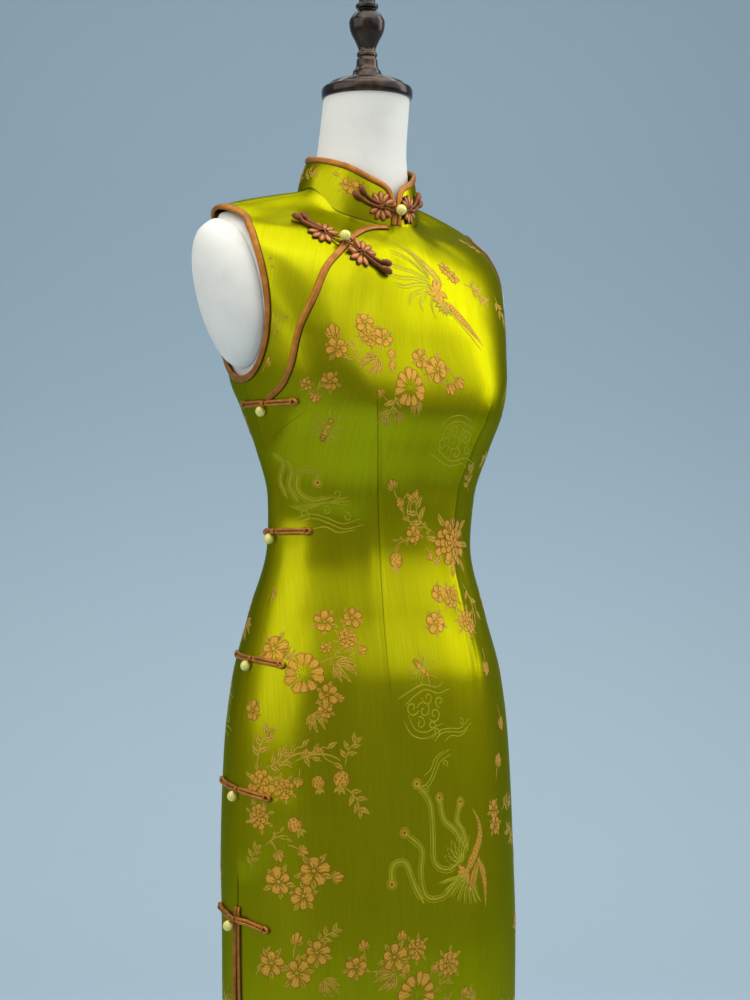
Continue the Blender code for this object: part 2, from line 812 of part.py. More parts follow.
def flap_side_edge():
    """Outer edge of the flap: it meets the top of the back's strip, then the side seam."""
    corner = side_path("seam", -1, STRIP_TOP, STRIP_TOP + TRUNK_STEP, 1)
    corner[0] = inset(corner[:1], STRIP_WIDTH)[0]
    seam = side_path("seam", -1, STRIP_TOP + TRUNK_STEP, UNDERARM, FLAP_SIDE_ROWS)
    return inset(joined(corner, seam), SEAM / 2)


def flap_edges():
    """Four edges of the flap under the slanted opening."""
    left = joined(
        flap_side_edge(),
        armhole_path(-1, math.pi, 0, ARMHOLE_ROWS),
        inset(shoulder_path(-1, SHOULDER_ROWS), SEAM / 2),
    )
    slant, level = opening_path()
    side = side_path("edge", -1, STRIP_TOP, SIDE_OPENING_TOP, FLAP_SIDE_ROWS)
    edge = joined(side, slant, level[:-FLAP_EDGE_STOP])
    hidden = shifted(skin, evenly(skin, edge, FLAP_EDGE_STEPS), -UNDER)
    end = np.array([[FLAP_END, float(neckline_rise(FLAP_END))]])
    right = evenly(skin, np.concatenate([hidden, end]), len(left) - 1)
    bottom = evenly(skin, np.stack([left[0], right[0]]), FLAP_COLUMNS)
    return left, right, bottom, neckline_path(left[-1][0], FLAP_END, FLAP_COLUMNS)


def collar_turns():
    """Turns round the collar, closer together at its front corners."""
    spread = np.linspace(-1, 1, COLLAR_STEPS + 1)
    eased = np.sign(spread) * (1 - (1 - np.abs(spread)) ** COLLAR_CROWDING)
    return math.pi + (math.pi - COLLAR_END) * eased


def make_collar(finish):
    """Stand collar: one band round the neck, open at the centre front."""
    grid = np.stack(np.meshgrid(collar_turns(), np.linspace(0, 1, COLLAR_ROWS + 1)), -1)
    grid[..., 1] *= collar_top(grid[..., 0])
    return wall("collar", collar, grid, 0.0, finish)


# ---------------------------------------------------------------- bindings and cords
def loft(name, rings, closed, finish):
    """Join a row of equal rings into one closed body."""
    count, size = rings.shape[:2]
    faces = []
    for ring in range(count if closed else count - 1):
        following = (ring + 1) % count
        for corner in range(size):
            after = (corner + 1) % size
            faces.append(
                (
                    ring * size + corner,
                    ring * size + after,
                    following * size + after,
                    following * size + corner,
                )
            )
    if not closed:
        faces.append(tuple(reversed(range(size))))
        faces.append(tuple((count - 1) * size + corner for corner in range(size)))
    return mesh_object(name, rings.reshape(-1, 3), faces, finish)


def no_lift(place):
    """Lift of a piece that lies straight on the worn surface."""
    return np.zeros(place.shape[:-1])


def binding(name, surface, path, edges, lift_of, finish):
    """Bias binding along a path, over the cloth that lies to the path's left."""
    over, width = edges
    outer = shifted(surface, path, -over)
    crown = shifted(surface, path, width / 2)
    inner = shifted(surface, path, width)
    corners = (
        (outer, BINDING_SEAT),
        (outer, BINDING_SEAT + BINDING_EDGE),
        (crown, BINDING_SEAT + BINDING_CROWN),
        (inner, BINDING_SEAT + BINDING_EDGE),
        (inner, BINDING_SEAT),
    )
    rings = []
    for side, height in corners:
        rings.append(lifted(surface, side[:, 0], side[:, 1], lift_of(side) + height))
    rings = np.stack(rings, axis=1)
    closed = np.linalg.norm(rings[0] - rings[-1]) < 1e-4
    if closed:
        rings = rings[:-1]
    return loft(name, rings, closed, finish)


def skirt_edge(front):
    """Path up a slit, round the hem and up the other slit, with the cloth on its left."""
    down = slit_path(-1, HEM, SKIRT_ROWS)[::-1]
    up = slit_path(1, HEM, SKIRT_ROWS)
    hem = hem_path(down[-1], up[0], FRONT_COLUMNS if front else BACK_COLUMNS)
    path = joined(down, hem, up)
    return path if front else mirror_back(path)[::-1]


def make_bindings(finish):
    """Every bound edge of the dress."""
    binding("binding_skirt_front", skin, skirt_edge(True), SKIRT_BINDING, lap_lift, finish)
    binding("binding_skirt_back", skin, skirt_edge(False), SKIRT_BINDING, no_lift, finish)
    for side, sign in (("left", 1), ("right", -1)):
        loop = armhole_path(sign, 0, -sign * FULL, ARMHOLE_BINDING_ROWS)
        binding(f"binding_armhole_{side}", skin, loop, BINDING, no_lift, finish)
    slant, level = opening_path()
    opening = evenly(skin, joined(slant, level[:-OPENING_BINDING_STOP]), OPENING_BINDING_ROWS)
    binding("binding_opening", skin, opening[:0:-1], BINDING, lap_lift, finish)
    binding("binding_collar", collar, collar_edge(), BINDING, no_lift, finish)


def collar_edge():
    """Path over the collar's free edge, up one front corner and down the other."""
    turn = collar_turns()
    top = np.stack([turn, collar_top(turn)], -1)
    climb_up = np.linspace(COLLAR_BINDING_START, 1, COLLAR_ROWS + 1)
    start = np.stack([np.full(COLLAR_ROWS + 1, turn[0]), climb_up * collar_top(turn[0])], -1)
    end = np.stack([np.full(COLLAR_ROWS + 1, turn[-1]), climb_up[::-1] * collar_top(turn[-1])], -1)
    return joined(start, top, end)[::-1]


def flower(scale):
    """Rings of a flower of padded petals, with gaps for its stems and its bead loop."""
    around = np.arange(PETAL_STEPS) * FULL / PETAL_STEPS
    off_axis = np.degrees(np.abs((around + math.pi) % FULL - math.pi))
    nearest = np.min(np.abs(off_axis[:, None] - np.array(PETAL_DEGREES)), axis=-1)
    lobe = np.cos(np.clip(nearest / PETAL_HALF_DEGREES, 0, 1) * QUARTER) ** PETAL_SQUARENESS
    rim = (PETAL_ROOT + (PETAL_LENGTH - PETAL_ROOT) * lobe) * scale
    rings = []
    for share, height in PETAL_RINGS:
        up = PETAL_HEIGHT * height * (PETAL_GAP_HEIGHT + (1 - PETAL_GAP_HEIGHT) * lobe)
        rings.append(np.stack([np.cos(around) * rim * share, np.sin(around) * rim * share, up], -1))
    return np.stack(rings)


def stems(scale):
    """Rings of the cord that runs from knob to knob, bent double beside the flower."""
    places = []
    for reach_out, bend, lane in STEMS:
        way = np.linspace(0, 1, STEM_STEPS + 1)
        out = STEM_START + (reach_out - STEM_START) * way
        places.append(np.stack([out, lane + (bend - lane) * way**2, way * 0], -1))
    path = np.concatenate([places[0][::-1], places[1]]) * scale
    size = np.full(len(path), STEM_RADIUS)
    size[[0, -1]] = KNOB_TIP_RADIUS
    size[[1, -2]] = KNOB_RADIUS
    tangent = unit(np.gradient(path, axis=0))
    across = np.stack([-tangent[:, 1], tangent[:, 0], tangent[:, 2]], -1)
    around = np.arange(STEM_SIDES) * FULL / STEM_SIDES
    rings = path[:, None] + np.cos(around)[None, :, None] * (across * size[:, None])[:, None]
    rings[..., 2] = size[:, None] * (1 + np.sin(around)[None, :])
    return rings


def climb(out, crown):
    """Lift of a frog that climbs over a binding beside its bead and comes down beyond."""
    part = np.clip((out - CLIMB_START) / CLIMB, 0, 1)
    return crown * (1 - part * part * (3 - 2 * part))


def flower_frog(name, surface, anchor, heading, flip, scale, crown, lift_of, finish):
    """Half of a flower frog: its petals, and its two curled stems with round knobs."""
    for part, rings in (("flower", flower(scale)), ("stems", stems(scale))):
        flat = rings.reshape(-1, 3) * np.array([1.0, flip, 1.0])
        flat[:, 0] += FLOWER_OFFSET * scale
        flat[:, 2] += ARM_SEAT + climb(flat[:, 0], crown)
        placed = wrapped(surface, anchor, heading, flat, lift_of)
        loft(f"{name}_{part}", placed.reshape(rings.shape), False, finish)


def bead(name, surface, anchor, radius, lift, finish):
    """Round bead that rests over a point of a surface."""
    centre = lifted(surface, np.array([anchor[0]]), np.array([anchor[1]]), np.array([lift + radius]))
    bpy.ops.mesh.primitive_uv_sphere_add(
        segments=BEAD_SEGMENTS, ring_count=BEAD_RINGS, radius=radius, location=centre[0]
    )
    made = bpy.context.object
    made.name = name
    made.data.name = name
    made.data.materials.append(finish)
    made.data.shade_smooth()
    for holder in list(made.users_collection):
        holder.objects.unlink(made)
    PARTS.objects.link(made)


def cord_arm(name, anchor, direction, stations, seat, crown, lift_of, finish):
    """Straight arm of a side frog: two cords side by side, with a knot on the button side."""
    around = np.arange(ARM_SIDES) * FULL / ARM_SIDES
    lobe = np.abs(np.cos(around))
    across = ARM_CORD * np.cos(around) * (TWIN_WIDTH[0] + TWIN_WIDTH[1] * lobe)
    up = ARM_CORD * (1 + np.sin(around) * (TWIN_HEIGHT[0] + TWIN_HEIGHT[1] * lobe))
    rings = []
    for out, size in stations:
        base = seat + climb(out, crown)
        flat = np.stack([np.full(ARM_SIDES, direction * out), across * size, base + up * size], -1)
        rings.append(wrapped(skin, anchor, 0.0, flat, lift_of))
    loft(name, np.stack(rings), False, finish)


# ---------------------------------------------------------------- dress
def make_panels(satin):
    """Front, flap, back and collar."""
    front = patch(*front_edges())
    wall("front_panel", skin, front, lap_lift(front), satin)
    wall("front_flap", skin, patch(*flap_edges()), 0.0, satin)
    wall("back_panel", skin, patch(*back_edges()), 0.0, satin)
    make_collar(satin)


def make_frogs(cord, pearl):
    """Flower frogs at the collar and chest, and straight frogs down the side."""
    crown = BINDING_SEAT + BINDING_CROWN
    anchor = (0.0, COLLAR_FROG_SHARE)
    scale = COLLAR_FROG_SCALE
    flower_frog("frog_collar_left", collar, anchor, 0.0, 1, scale, crown, no_lift, cord)
    flower_frog("frog_collar_right", collar, anchor, math.pi, -1, scale, crown, no_lift, cord)
    bead("bead_collar", collar, anchor, BEAD_RADIUS, crown - BEAD_SETTLE, pearl)
    chest = (CHEST_FROG_TURN, CHEST_FROG_RISE)
    upward = CHEST_FROG_HEADING + math.pi
    flower_frog("frog_chest_upper", skin, chest, upward, -1, 1.0, 0.0, no_lift, cord)
    flower_frog("frog_chest_lower", skin, chest, CHEST_FROG_HEADING, 1, 1.0, crown, lap_lift, cord)
    bead("bead_chest", skin, chest, BEAD_RADIUS, LAP + crown - BEAD_SETTLE, pearl)
    for number, (rise, cord_seat, bead_seat) in enumerate(SIDE_FROGS, 1):
        turn = -math.radians(float(curve_value(SIDES, SIDE_COLUMNS.index("edge"), rise)))
        side = f"frog_side_{number}"
        over = crown if rise < SLIT_TOP else 0.0
        cord_arm(f"{side}_front", (turn, rise), 1, KNOTTED_ARM, cord_seat, over, lap_lift, cord)
        cord_arm(f"{side}_back", (turn, rise), -1, PLAIN_ARM, cord_seat, over, no_lift, cord)
        place = (turn - SIDE_BEAD_BACK / float(skin_radius(turn, rise)), rise - SIDE_BEAD_DROP)
        bead(f"bead_side_{number}", skin, place, SIDE_BEAD_RADIUS, bead_seat + over, pearl)


# ---------------------------------------------------------------- form and stand
def form_point(turn, rise, rise_off=0.0):
    """Points of the form, which stands just inside the dress."""
    gap = curve_value(FORM_GAPS, FORM_GAP_COLUMNS.index("gap"), rise)
    return lifted(skin, turn, rise, rise_off - WALL - gap)


def make_form(cover):
    """Torso and neck of the form, closed at both ends."""
    turn = np.arange(FORM_COLUMNS) * FULL / FORM_COLUMNS
    foot = np.full(turn.shape, FORM_FOOT - YOKE_RISE)
    side_top = np.full(turn.shape, SIDE_OPENING_TOP - YOKE_RISE)
    seam = reach_of(turn, neckline_rise(turn))
    top = reach_of(turn, NECK_TOP)
    levels = [foot]
    zones = ((foot, side_top, FORM_ROWS), (side_top, seam, FORM_YOKE_ROWS), (seam, top, FORM_NECK_ROWS))
    for low, high, count in zones:
        levels += [low + (high - low) * step / count for step in range(1, count + 1)]
    rings = [form_point(turn, rise_of(turn, foot), -FORM_FOOT_INSET)]
    rings += [form_point(turn, rise_of(turn, level)) for level in levels]
    rings = np.stack(rings)
    rings[0, :, 2] = WAIST + FORM_FOOT - FORM_FOOT_FALL
    rings[-1, :, 2] = WAIST + NECK_TOP
    return loft("form_torso", rings, False, cover)


def make_plate(side, sign, cover):
    """Rounded plate that closes an arm opening of the form."""
    around = np.arange(PLATE_STEPS) * FULL / PLATE_STEPS
    rise = ARMHOLE_RISE + ARMHOLE_HALF_HEIGHT * np.cos(around)
    depth = armhole_depth(around, rise)
    middle_depth = (ARMHOLE_FOOT_Y + ARMHOLE_TOP_Y) / 2
    rings = []
    for scale, bulge in plate_stations():
        ring_rise = ARMHOLE_RISE + (rise - ARMHOLE_RISE) * scale
        ring_depth = middle_depth + (depth - middle_depth) * scale
        points = form_point(sign * side_turn(ring_depth, ring_rise), ring_rise, PLATE_SEAT)
        points[:, 0] += sign * bulge
        rings.append(points)
    return loft(f"form_plate_{side}", np.stack(rings), False, cover)


def plate_stations():
    """Scale and bulge of each ring, from the middle of the seat over the rim to the crown."""
    seat = [(PLATE_SCALE * share, 0.0) for share in PLATE_SEAT_RINGS]
    dome = []
    for share in PLATE_DOME_RINGS:
        dome.append((PLATE_SCALE * share, PLATE_BULGE * (1 - share**PLATE_ROUNDNESS) ** 0.5))
    return seat + dome


def turned(name, profile, foot, finish, steps=TURNED_STEPS):
    """Body of revolution about the neck's axis; the profile runs down its outer side."""
    mesh = bpy.data.meshes.new(name)
    points = [(radius, 0.0, foot + height) for radius, height in profile]
    edges = [(number, number + 1) for number in range(len(points) - 1)]
    mesh.from_pydata(points, edges, [])
    mesh.materials.append(finish)
    made = bpy.data.objects.new(name, mesh)
    PARTS.objects.link(made)
    screw = made.modifiers.new("turn", "SCREW")
    screw.axis = "Z"
    screw.steps = steps
    screw.render_steps = steps
    screw.use_merge_vertices = True
    screw.merge_threshold = 0.00005
    screw.use_normal_calculate = False
    screw.use_smooth_shade = True


def make_stand(bronze):
    """Turned cap and finial on the neck, and the pole and base under the form."""
    cap_foot = WAIST + NECK_TOP + SEAM
    turned("form_neck_cap", CAP_PROFILE, cap_foot, bronze)
    turned("form_finial", FINIAL_PROFILE, cap_foot + CAP_HEIGHT + SEAM, bronze)
    pole_top = WAIST + FORM_FOOT - FORM_FOOT_FALL - SEAM
    pole_foot = BASE_HEIGHT + SEAM - pole_top
    pole = POLE_HEAD_PROFILE + ((POLE_RADIUS, pole_foot), (0.0, pole_foot))
    turned("form_pole", pole, pole_top, bronze)
    turned("form_base", BASE_PROFILE, 0.0, bronze, BASE_STEPS)


# ---------------------------------------------------------------- main
def main():
    """Build the dress, its fastenings, the form and the stand."""
    satin = material("satin", (0.42, 0.46, 0.01), 0.35)
    trim = material("bronze_satin", (0.40, 0.16, 0.05), 0.45)
    pearl = material("pale_bead", (0.80, 0.82, 0.45), 0.25)
    cover = material("form_cover", (0.86, 0.86, 0.82), 0.7)
    metal = material("dark_bronze", (0.035, 0.025, 0.022), 0.3, 0.9)
    make_panels(satin)
    make_bindings(trim)
    make_frogs(trim, pearl)
    make_form(cover)
    for side, sign in (("left", 1), ("right", -1)):
        make_plate(side, sign, cover)
    make_stand(metal)


clear_scene()
PARTS = new_collection("cheongsam_dress")
main()
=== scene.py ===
"""Dressed model of a sleeveless cheongsam on a limbless dress form with a turned stand.

Metres, +Z up, in the frame of the solids: the front faces -Y and the wearer's left is
+X. Rise is height above the waist line. Turn is the angle round the figure, 0 at the
centre front and a quarter turn at the wearer's left side.
"""

from __future__ import annotations

import sys

import logging
import math
from dataclasses import dataclass, field
from enum import Enum
from typing import Any, Callable, Optional, Sequence, Union

import bmesh
import bpy
import numpy as np
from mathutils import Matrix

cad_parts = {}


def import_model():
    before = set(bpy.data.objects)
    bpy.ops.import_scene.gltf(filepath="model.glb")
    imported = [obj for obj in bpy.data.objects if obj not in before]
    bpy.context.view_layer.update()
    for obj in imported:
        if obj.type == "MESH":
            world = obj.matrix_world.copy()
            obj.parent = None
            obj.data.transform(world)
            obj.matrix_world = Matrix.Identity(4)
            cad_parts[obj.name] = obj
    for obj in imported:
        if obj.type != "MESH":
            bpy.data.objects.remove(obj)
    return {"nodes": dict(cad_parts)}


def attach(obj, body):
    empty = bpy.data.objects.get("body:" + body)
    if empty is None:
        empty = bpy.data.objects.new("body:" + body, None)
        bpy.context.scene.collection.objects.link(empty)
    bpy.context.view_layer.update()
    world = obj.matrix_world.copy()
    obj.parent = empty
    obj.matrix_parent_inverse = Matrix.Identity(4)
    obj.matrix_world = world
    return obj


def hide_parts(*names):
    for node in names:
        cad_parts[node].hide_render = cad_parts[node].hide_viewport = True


LOG = logging.getLogger("cheongsam")
QUARTER = math.pi / 2
FULL = 2 * math.pi
MILLIMETRE = 0.001
PROBE = 2e-4
TOUCHING = 1e-6

Table = Sequence[Sequence[float]]
Knots = Sequence[Sequence[float]]
Spot = tuple[float, float, float]
Points = np.ndarray


# ---------------------------------------------------------------- curves and surfaces
def curve_value(table: Table, column: int, at: Union[float, Points]) -> Points:
    """Read a column of a table on a smooth curve that never overshoots its rows.

    Args:
        table: Rows of numbers, the first of each row being its station.
        column: The column that is read.
        at: Stations at which to read it.

    Returns:
        The column's value at each station.
    """
    rows = np.array(table, float)
    station, value = rows[:, 0], rows[:, column]
    step = np.diff(station)
    rate = np.diff(value) / step
    agree = rate[:-1] * rate[1:] > 0
    total = np.where(agree, rate[:-1] + rate[1:], 1.0)
    inner = np.where(agree, 2 * rate[:-1] * rate[1:] / total, 0.0)
    slope = np.concatenate(([rate[0]], inner, [rate[-1]]))
    at = np.clip(at, station[0], station[-1])
    low = np.clip(np.searchsorted(station, at) - 1, 0, len(station) - 2)
    part = (at - station[low]) / step[low]
    rest = 1 - part
    start = (1 + 2 * part) * rest**2 * value[low] + part * rest**2 * step[low] * slope[low]
    end = part**2 * (3 - 2 * part) * value[low + 1] - part**2 * rest * step[low] * slope[low + 1]
    return start + end


def ease(part: Union[float, Points]) -> Points:
    """Smooth step from 0 to 1."""
    part = np.clip(part, 0, 1)
    return part * part * (3 - 2 * part)


def unit(vectors: Points) -> Points:
    """Scale vectors to length one."""
    return vectors / np.maximum(np.linalg.norm(vectors, axis=-1, keepdims=True), 1e-12)


def halve(too_low: Callable[[Points], Points], low: Points, high: Points) -> Points:
    """Bisect between two arrays.

    Args:
        too_low: Tells, for each trial value, whether the answer lies above it.
        low: Values below the answers.
        high: Values above the answers.

    Returns:
        The answers.
    """
    for _ in range(40):
        middle = (low + high) / 2
        below = too_low(middle)
        low = np.where(below, middle, low)
        high = np.where(below, high, middle)
    return (low + high) / 2


def run_along(path: Points) -> Points:
    """Length run along a path at each of its points."""
    return np.concatenate(([0], np.cumsum(np.linalg.norm(np.diff(path, axis=0), axis=1))))


def wrapped(turn: Union[float, Points]) -> Points:
    """The same turn, within half a circle either side of the front."""
    return (turn + math.pi) % FULL - math.pi


def no_lift(place: Points) -> Points:
    """Lift of what lies straight on its surface."""
    return np.zeros(place.shape[:-1])


def joined(*paths: Points) -> Points:
    """Join paths end to end, keeping each shared point once."""
    return np.concatenate([paths[0]] + [path[1:] for path in paths[1:]])


class Surface:
    """A surface given by two numbers, on which pieces are laid."""

    def point(self, along: Points, across: Points) -> Points:
        """Points of the surface."""
        raise NotImplementedError

    def partials(self, along: Points, across: Points) -> tuple[Points, Points]:
        """Rates of change of the surface in its two directions."""
        step = PROBE
        first = (self.point(along + step, across) - self.point(along - step, across)) / (2 * step)
        second = (self.point(along, across + step) - self.point(along, across - step)) / (2 * step)
        return first, second

    def lifted(self, place: Points, lift: Union[float, Points]) -> Points:
        """Points of the surface at some places, moved out along its normal.

        Args:
            place: Places, with along and across in the last axis.
            lift: Distance outwards at each place.

        Returns:
            Points in space.
        """
        first, second = self.partials(place[..., 0], place[..., 1])
        normal = unit(np.cross(first, second))
        lift = np.broadcast_to(lift, place.shape[:-1])
        return self.point(place[..., 0], place[..., 1]) + normal * lift[..., None]

    def stepped(self, place: Points, move: Points) -> Points:
        """Places reached from others by short moves that lie in the surface."""
        first, second = self.partials(place[..., 0], place[..., 1])
        aa, ab, bb = (np.sum(p * q, -1) for p, q in ((first, first), (first, second), (second, second)))
        am, bm = np.sum(first * move, -1), np.sum(second * move, -1)
        scale = np.maximum(aa * bb - ab * ab, 1e-14)
        return place + np.stack([(am * bb - bm * ab) / scale, (bm * aa - am * ab) / scale], -1)

    def shifted(self, path: Points, distance: float) -> Points:
        """Move a path sideways in its surface, to the left of its own direction."""
        points = self.point(path[:, 0], path[:, 1])
        tangent = np.gradient(points, axis=0)
        if np.linalg.norm(points[0] - points[-1]) < TOUCHING:
            tangent[0] = tangent[-1] = points[1] - points[-2]
        place = path
        for _ in range(3):
            first, second = self.partials(place[:, 0], place[:, 1])
            sideways = unit(np.cross(np.cross(first, second), tangent))
            place = self.stepped(place, sideways * distance / 3)
        return place

    def reached(self, anchor: Points, heading: Union[float, Points], flat: Points, steps: int = 8) -> Points:
        """Places that flat offsets reach on the surface.

        Args:
            anchor: Place, or one place for each offset, that the offsets start from.
            heading: Angle of each first offset above the level direction.
            flat: Offsets, out and across, in metres.
            steps: Number of short moves that make up each offset.

        Returns:
            The places, one for each offset.
        """
        place = np.broadcast_to(np.array(anchor, float), flat.shape).copy()
        cosine, sine = np.cos(heading), np.sin(heading)
        level = flat[..., 0] * cosine - flat[..., 1] * sine
        upward = flat[..., 0] * sine + flat[..., 1] * cosine
        for _ in range(steps):
            first, second = self.partials(place[..., 0], place[..., 1])
            round_body = unit(first)
            up_body = unit(np.cross(np.cross(first, second), first))
            move = round_body * level[..., None] + up_body * upward[..., None]
            place = self.stepped(place, move / steps)
        return place

    def evenly(self, path: Points, count: int) -> Points:
        """Resample a path at count equal steps of its length."""
        points = self.point(path[:, 0], path[:, 1])
        length = run_along(points)
        wanted = np.linspace(0, length[-1], count + 1)
        return np.stack([np.interp(wanted, length, path[:, k]) for k in range(2)], -1)


@dataclass(frozen=True)
class SoftFold:
    """One soft ridge or hollow of the worn cloth, along a short line.

    Turns are in degrees and all else is in metres; a negative height is a hollow.
    """

    start: tuple[float, float]
    end: tuple[float, float]
    width: float
    height: float
    girth: float = 0.135

    def at(self, turn: Points, rise: Points) -> Points:
        """Height of the fold at each place, fading out towards both its ends."""
        begin = np.array([math.radians(self.start[0]) * self.girth, self.start[1]])
        finish = np.array([math.radians(self.end[0]) * self.girth, self.end[1]])
        line = finish - begin
        length = float(np.linalg.norm(line))
        line = line / length
        off = np.stack([wrapped(turn) * self.girth - begin[0], rise - begin[1]], -1)
        along = (off @ line) / length
        across = off[..., 0] * line[1] - off[..., 1] * line[0]
        across = across + self.width * 0.6 * np.sin(along * 3.0 + self.start[1] * 40)
        fade = np.exp(-(((along - 0.45) / 0.48) ** 4))
        return self.height * fade * np.exp(-((across / self.width) ** 2))


@dataclass(frozen=True)
class WornShape(Surface):
    """The outer face of the cloth as the form fills it, with the dress's soft folds."""

    waist: float = 1.060
    hem: float = -0.820
    yoke_rise: float = 0.170
    yoke_span: float = 0.130
    section_names: tuple[str, ...] = tuple("rise half_width middle front back front_power back_power".split())
    sections: Table = (
        (-0.840, 0.158, 0.000, 0.120, 0.098, 2.3, 2.3),
        (-0.600, 0.164, 0.000, 0.126, 0.099, 2.3, 2.3),
        (-0.420, 0.168, 0.000, 0.127, 0.099, 2.3, 2.3),
        (-0.300, 0.167, 0.000, 0.120, 0.106, 2.3, 2.3),
        (-0.210, 0.163, 0.000, 0.116, 0.105, 2.3, 2.3),
        (-0.140, 0.153, 0.000, 0.112, 0.103, 2.3, 2.3),
        (-0.070, 0.135, 0.000, 0.096, 0.088, 2.3, 2.3),
        (0.000, 0.119, 0.000, 0.084, 0.063, 2.3, 2.3),
        (0.050, 0.121, 0.000, 0.087, 0.055, 2.4, 2.3),
        (0.100, 0.132, 0.000, 0.100, 0.071, 2.6, 2.3),
        (0.140, 0.142, 0.000, 0.112, 0.092, 2.7, 2.4),
        (0.171, 0.151, 0.002, 0.114, 0.102, 2.7, 2.5),
        (0.210, 0.159, 0.008, 0.114, 0.102, 2.7, 2.5),
        (0.250, 0.168, 0.016, 0.110, 0.094, 2.7, 2.5),
        (0.290, 0.175, 0.024, 0.101, 0.083, 2.6, 2.4),
        (0.318, 0.177, 0.030, 0.084, 0.070, 2.3, 2.2),
        (0.336, 0.172, 0.034, 0.062, 0.058, 2.0, 2.0),
        (0.344, 0.167, 0.035, 0.050, 0.055, 2.0, 2.0),
        (0.353, 0.143, 0.031, 0.038, 0.053, 2.0, 2.0),
        (0.361, 0.110, 0.025, 0.028, 0.052, 2.0, 2.0),
        (0.372, 0.060, 0.017, 0.015, 0.044, 2.0, 2.0),
        (0.385, 0.030, 0.014, 0.010, 0.020, 2.0, 2.0),
    )
    neck_names: tuple[str, ...] = ("rise", "middle", "radius")
    necks: Table = (
        (0.200, 0.0165, 0.0100),
        (0.310, 0.0165, 0.0615),
        (0.360, 0.0165, 0.0615),
        (0.385, 0.0140, 0.0590),
        (0.418, 0.0088, 0.0530),
        (0.475, 0.0000, 0.0490),
    )
    neck_top: float = 0.471
    neck_blend: float = 9
    neck_middle: float = 0.0165
    neck_seam_radius: float = 0.0645
    bust_rise: float = 0.157
    bust_rise_spread: float = 0.055
    bust_turn: float = math.radians(38)
    bust_turn_spread: float = math.radians(20)
    bust_fullness: float = 0.006
    folds: tuple[SoftFold, ...] = ()
    fold_table: list = field(default_factory=list)

    def section(self, name: str, rise: Points) -> Points:
        """Read one size of the body section at each rise."""
        return curve_value(self.sections, self.section_names.index(name), rise)

    def neck(self, name: str, rise: Points) -> Points:
        """Read one size of the neck column at each rise."""
        return curve_value(self.necks, self.neck_names.index(name), rise)

    def torso_radius(self, turn: Points, rise: Points) -> Points:
        """Radius of the torso section, with the bust, from the section's middle."""
        side, ahead = np.abs(np.sin(turn)), np.cos(turn)
        facing = ahead > 0
        depth = np.where(facing, self.section("front", rise), self.section("back", rise))
        power = np.where(facing, self.section("front_power", rise), self.section("back_power", rise))
        across = (side / self.section("half_width", rise)) ** power
        along = (np.abs(ahead) / depth) ** power
        off_turn = (np.abs(wrapped(turn)) - self.bust_turn) / self.bust_turn_spread
        off_rise = (rise - self.bust_rise) / self.bust_rise_spread
        swell = self.bust_fullness * np.exp(-(off_turn**2) - off_rise**2)
        return (across + along) ** (-1 / power) + swell

    def neck_radius(self, turn: Points, rise: Points) -> Points:
        """Distance from the section's middle to the neck column, in the direction of turn."""
        offset = self.neck("middle", rise) - self.section("middle", rise)
        forward = -offset * np.cos(turn)
        inside = forward**2 - offset**2 + self.neck("radius", rise) ** 2
        return forward + np.sqrt(np.maximum(inside, 1e-8))

    def radius(self, turn: Points, rise: Points) -> Points:
        """Radius of the worn surface without its folds."""
        torso, column = self.torso_radius(turn, rise), self.neck_radius(turn, rise)
        blend = self.neck_blend
        return (torso**blend + column**blend) ** (1 / blend)

    def fold_height(self, turn: Points, rise: Points) -> Points:
        """Sum of the soft folds at each place, read from a fine table made once."""
        if not self.folds:
            return np.zeros(np.broadcast(turn, rise).shape)
        low, high, columns, rows = -0.85, 0.45, 720, 1040
        if not self.fold_table:
            turns = np.arange(columns) * FULL / columns
            rises = np.linspace(low, high, rows)
            grid = np.meshgrid(turns, rises)
            self.fold_table.append(sum(fold.at(*grid) for fold in self.folds))
        table = self.fold_table[0]
        across = np.mod(turn, FULL) / FULL * columns
        up = np.clip((rise - low) / (high - low) * (rows - 1), 0, rows - 1.001)
        column, row = np.floor(across).astype(int), np.floor(up).astype(int)
        across, up, column = across - column, up - row, column % columns
        beside = (column + 1) % columns
        lower = table[row, column] * (1 - across) + table[row, beside] * across
        upper = table[row + 1, column] * (1 - across) + table[row + 1, beside] * across
        return lower * (1 - up) + upper * up

    def point(self, along: Points, across: Points) -> Points:
        """Points of the cloth's outer face; along is the turn and across the rise."""
        turn, rise = np.broadcast_arrays(np.asarray(along, float), np.asarray(across, float))
        radius = self.radius(turn, rise) + self.fold_height(turn, rise)
        depth = self.section("middle", rise) - radius * np.cos(turn)
        return np.stack([radius * np.sin(turn), depth, self.waist + rise], -1)

    def reach(self, turn: Points, rise: Points) -> Points:
        """Reach of places: a height below the yoke, an angle of elevation above it."""
        turn, rise = np.broadcast_arrays(np.asarray(turn, float), np.asarray(rise, float))
        above = rise - self.yoke_rise
        elevation = self.yoke_span * np.arctan2(above, self.radius(turn, rise))
        return np.where(above < 0, above, elevation)

    def rise_at(self, turn: Points, reach: Points) -> Points:
        """Rise of places that are given by their reach."""
        turn, reach = np.broadcast_arrays(np.asarray(turn, float), np.asarray(reach, float))
        low = np.full(reach.shape, self.yoke_rise)
        high = np.full(reach.shape, self.necks[-1][0])
        upper = halve(lambda rise: self.reach(turn, rise) < reach, low, high)
        return np.where(reach < 0, reach + self.yoke_rise, upper)

    def neckline_rise(self, turn: Union[float, Points]) -> Points:
        """Rise at which the worn surface passes the neck seam's circle."""
        turn = np.asarray(turn, float)

        def outside(rise: Points) -> Points:
            point = self.point(turn, rise)
            return np.hypot(point[..., 0], point[..., 1] - self.neck_middle) > self.neck_seam_radius

        return halve(outside, np.full(turn.shape, 0.29), np.full(turn.shape, 0.44))

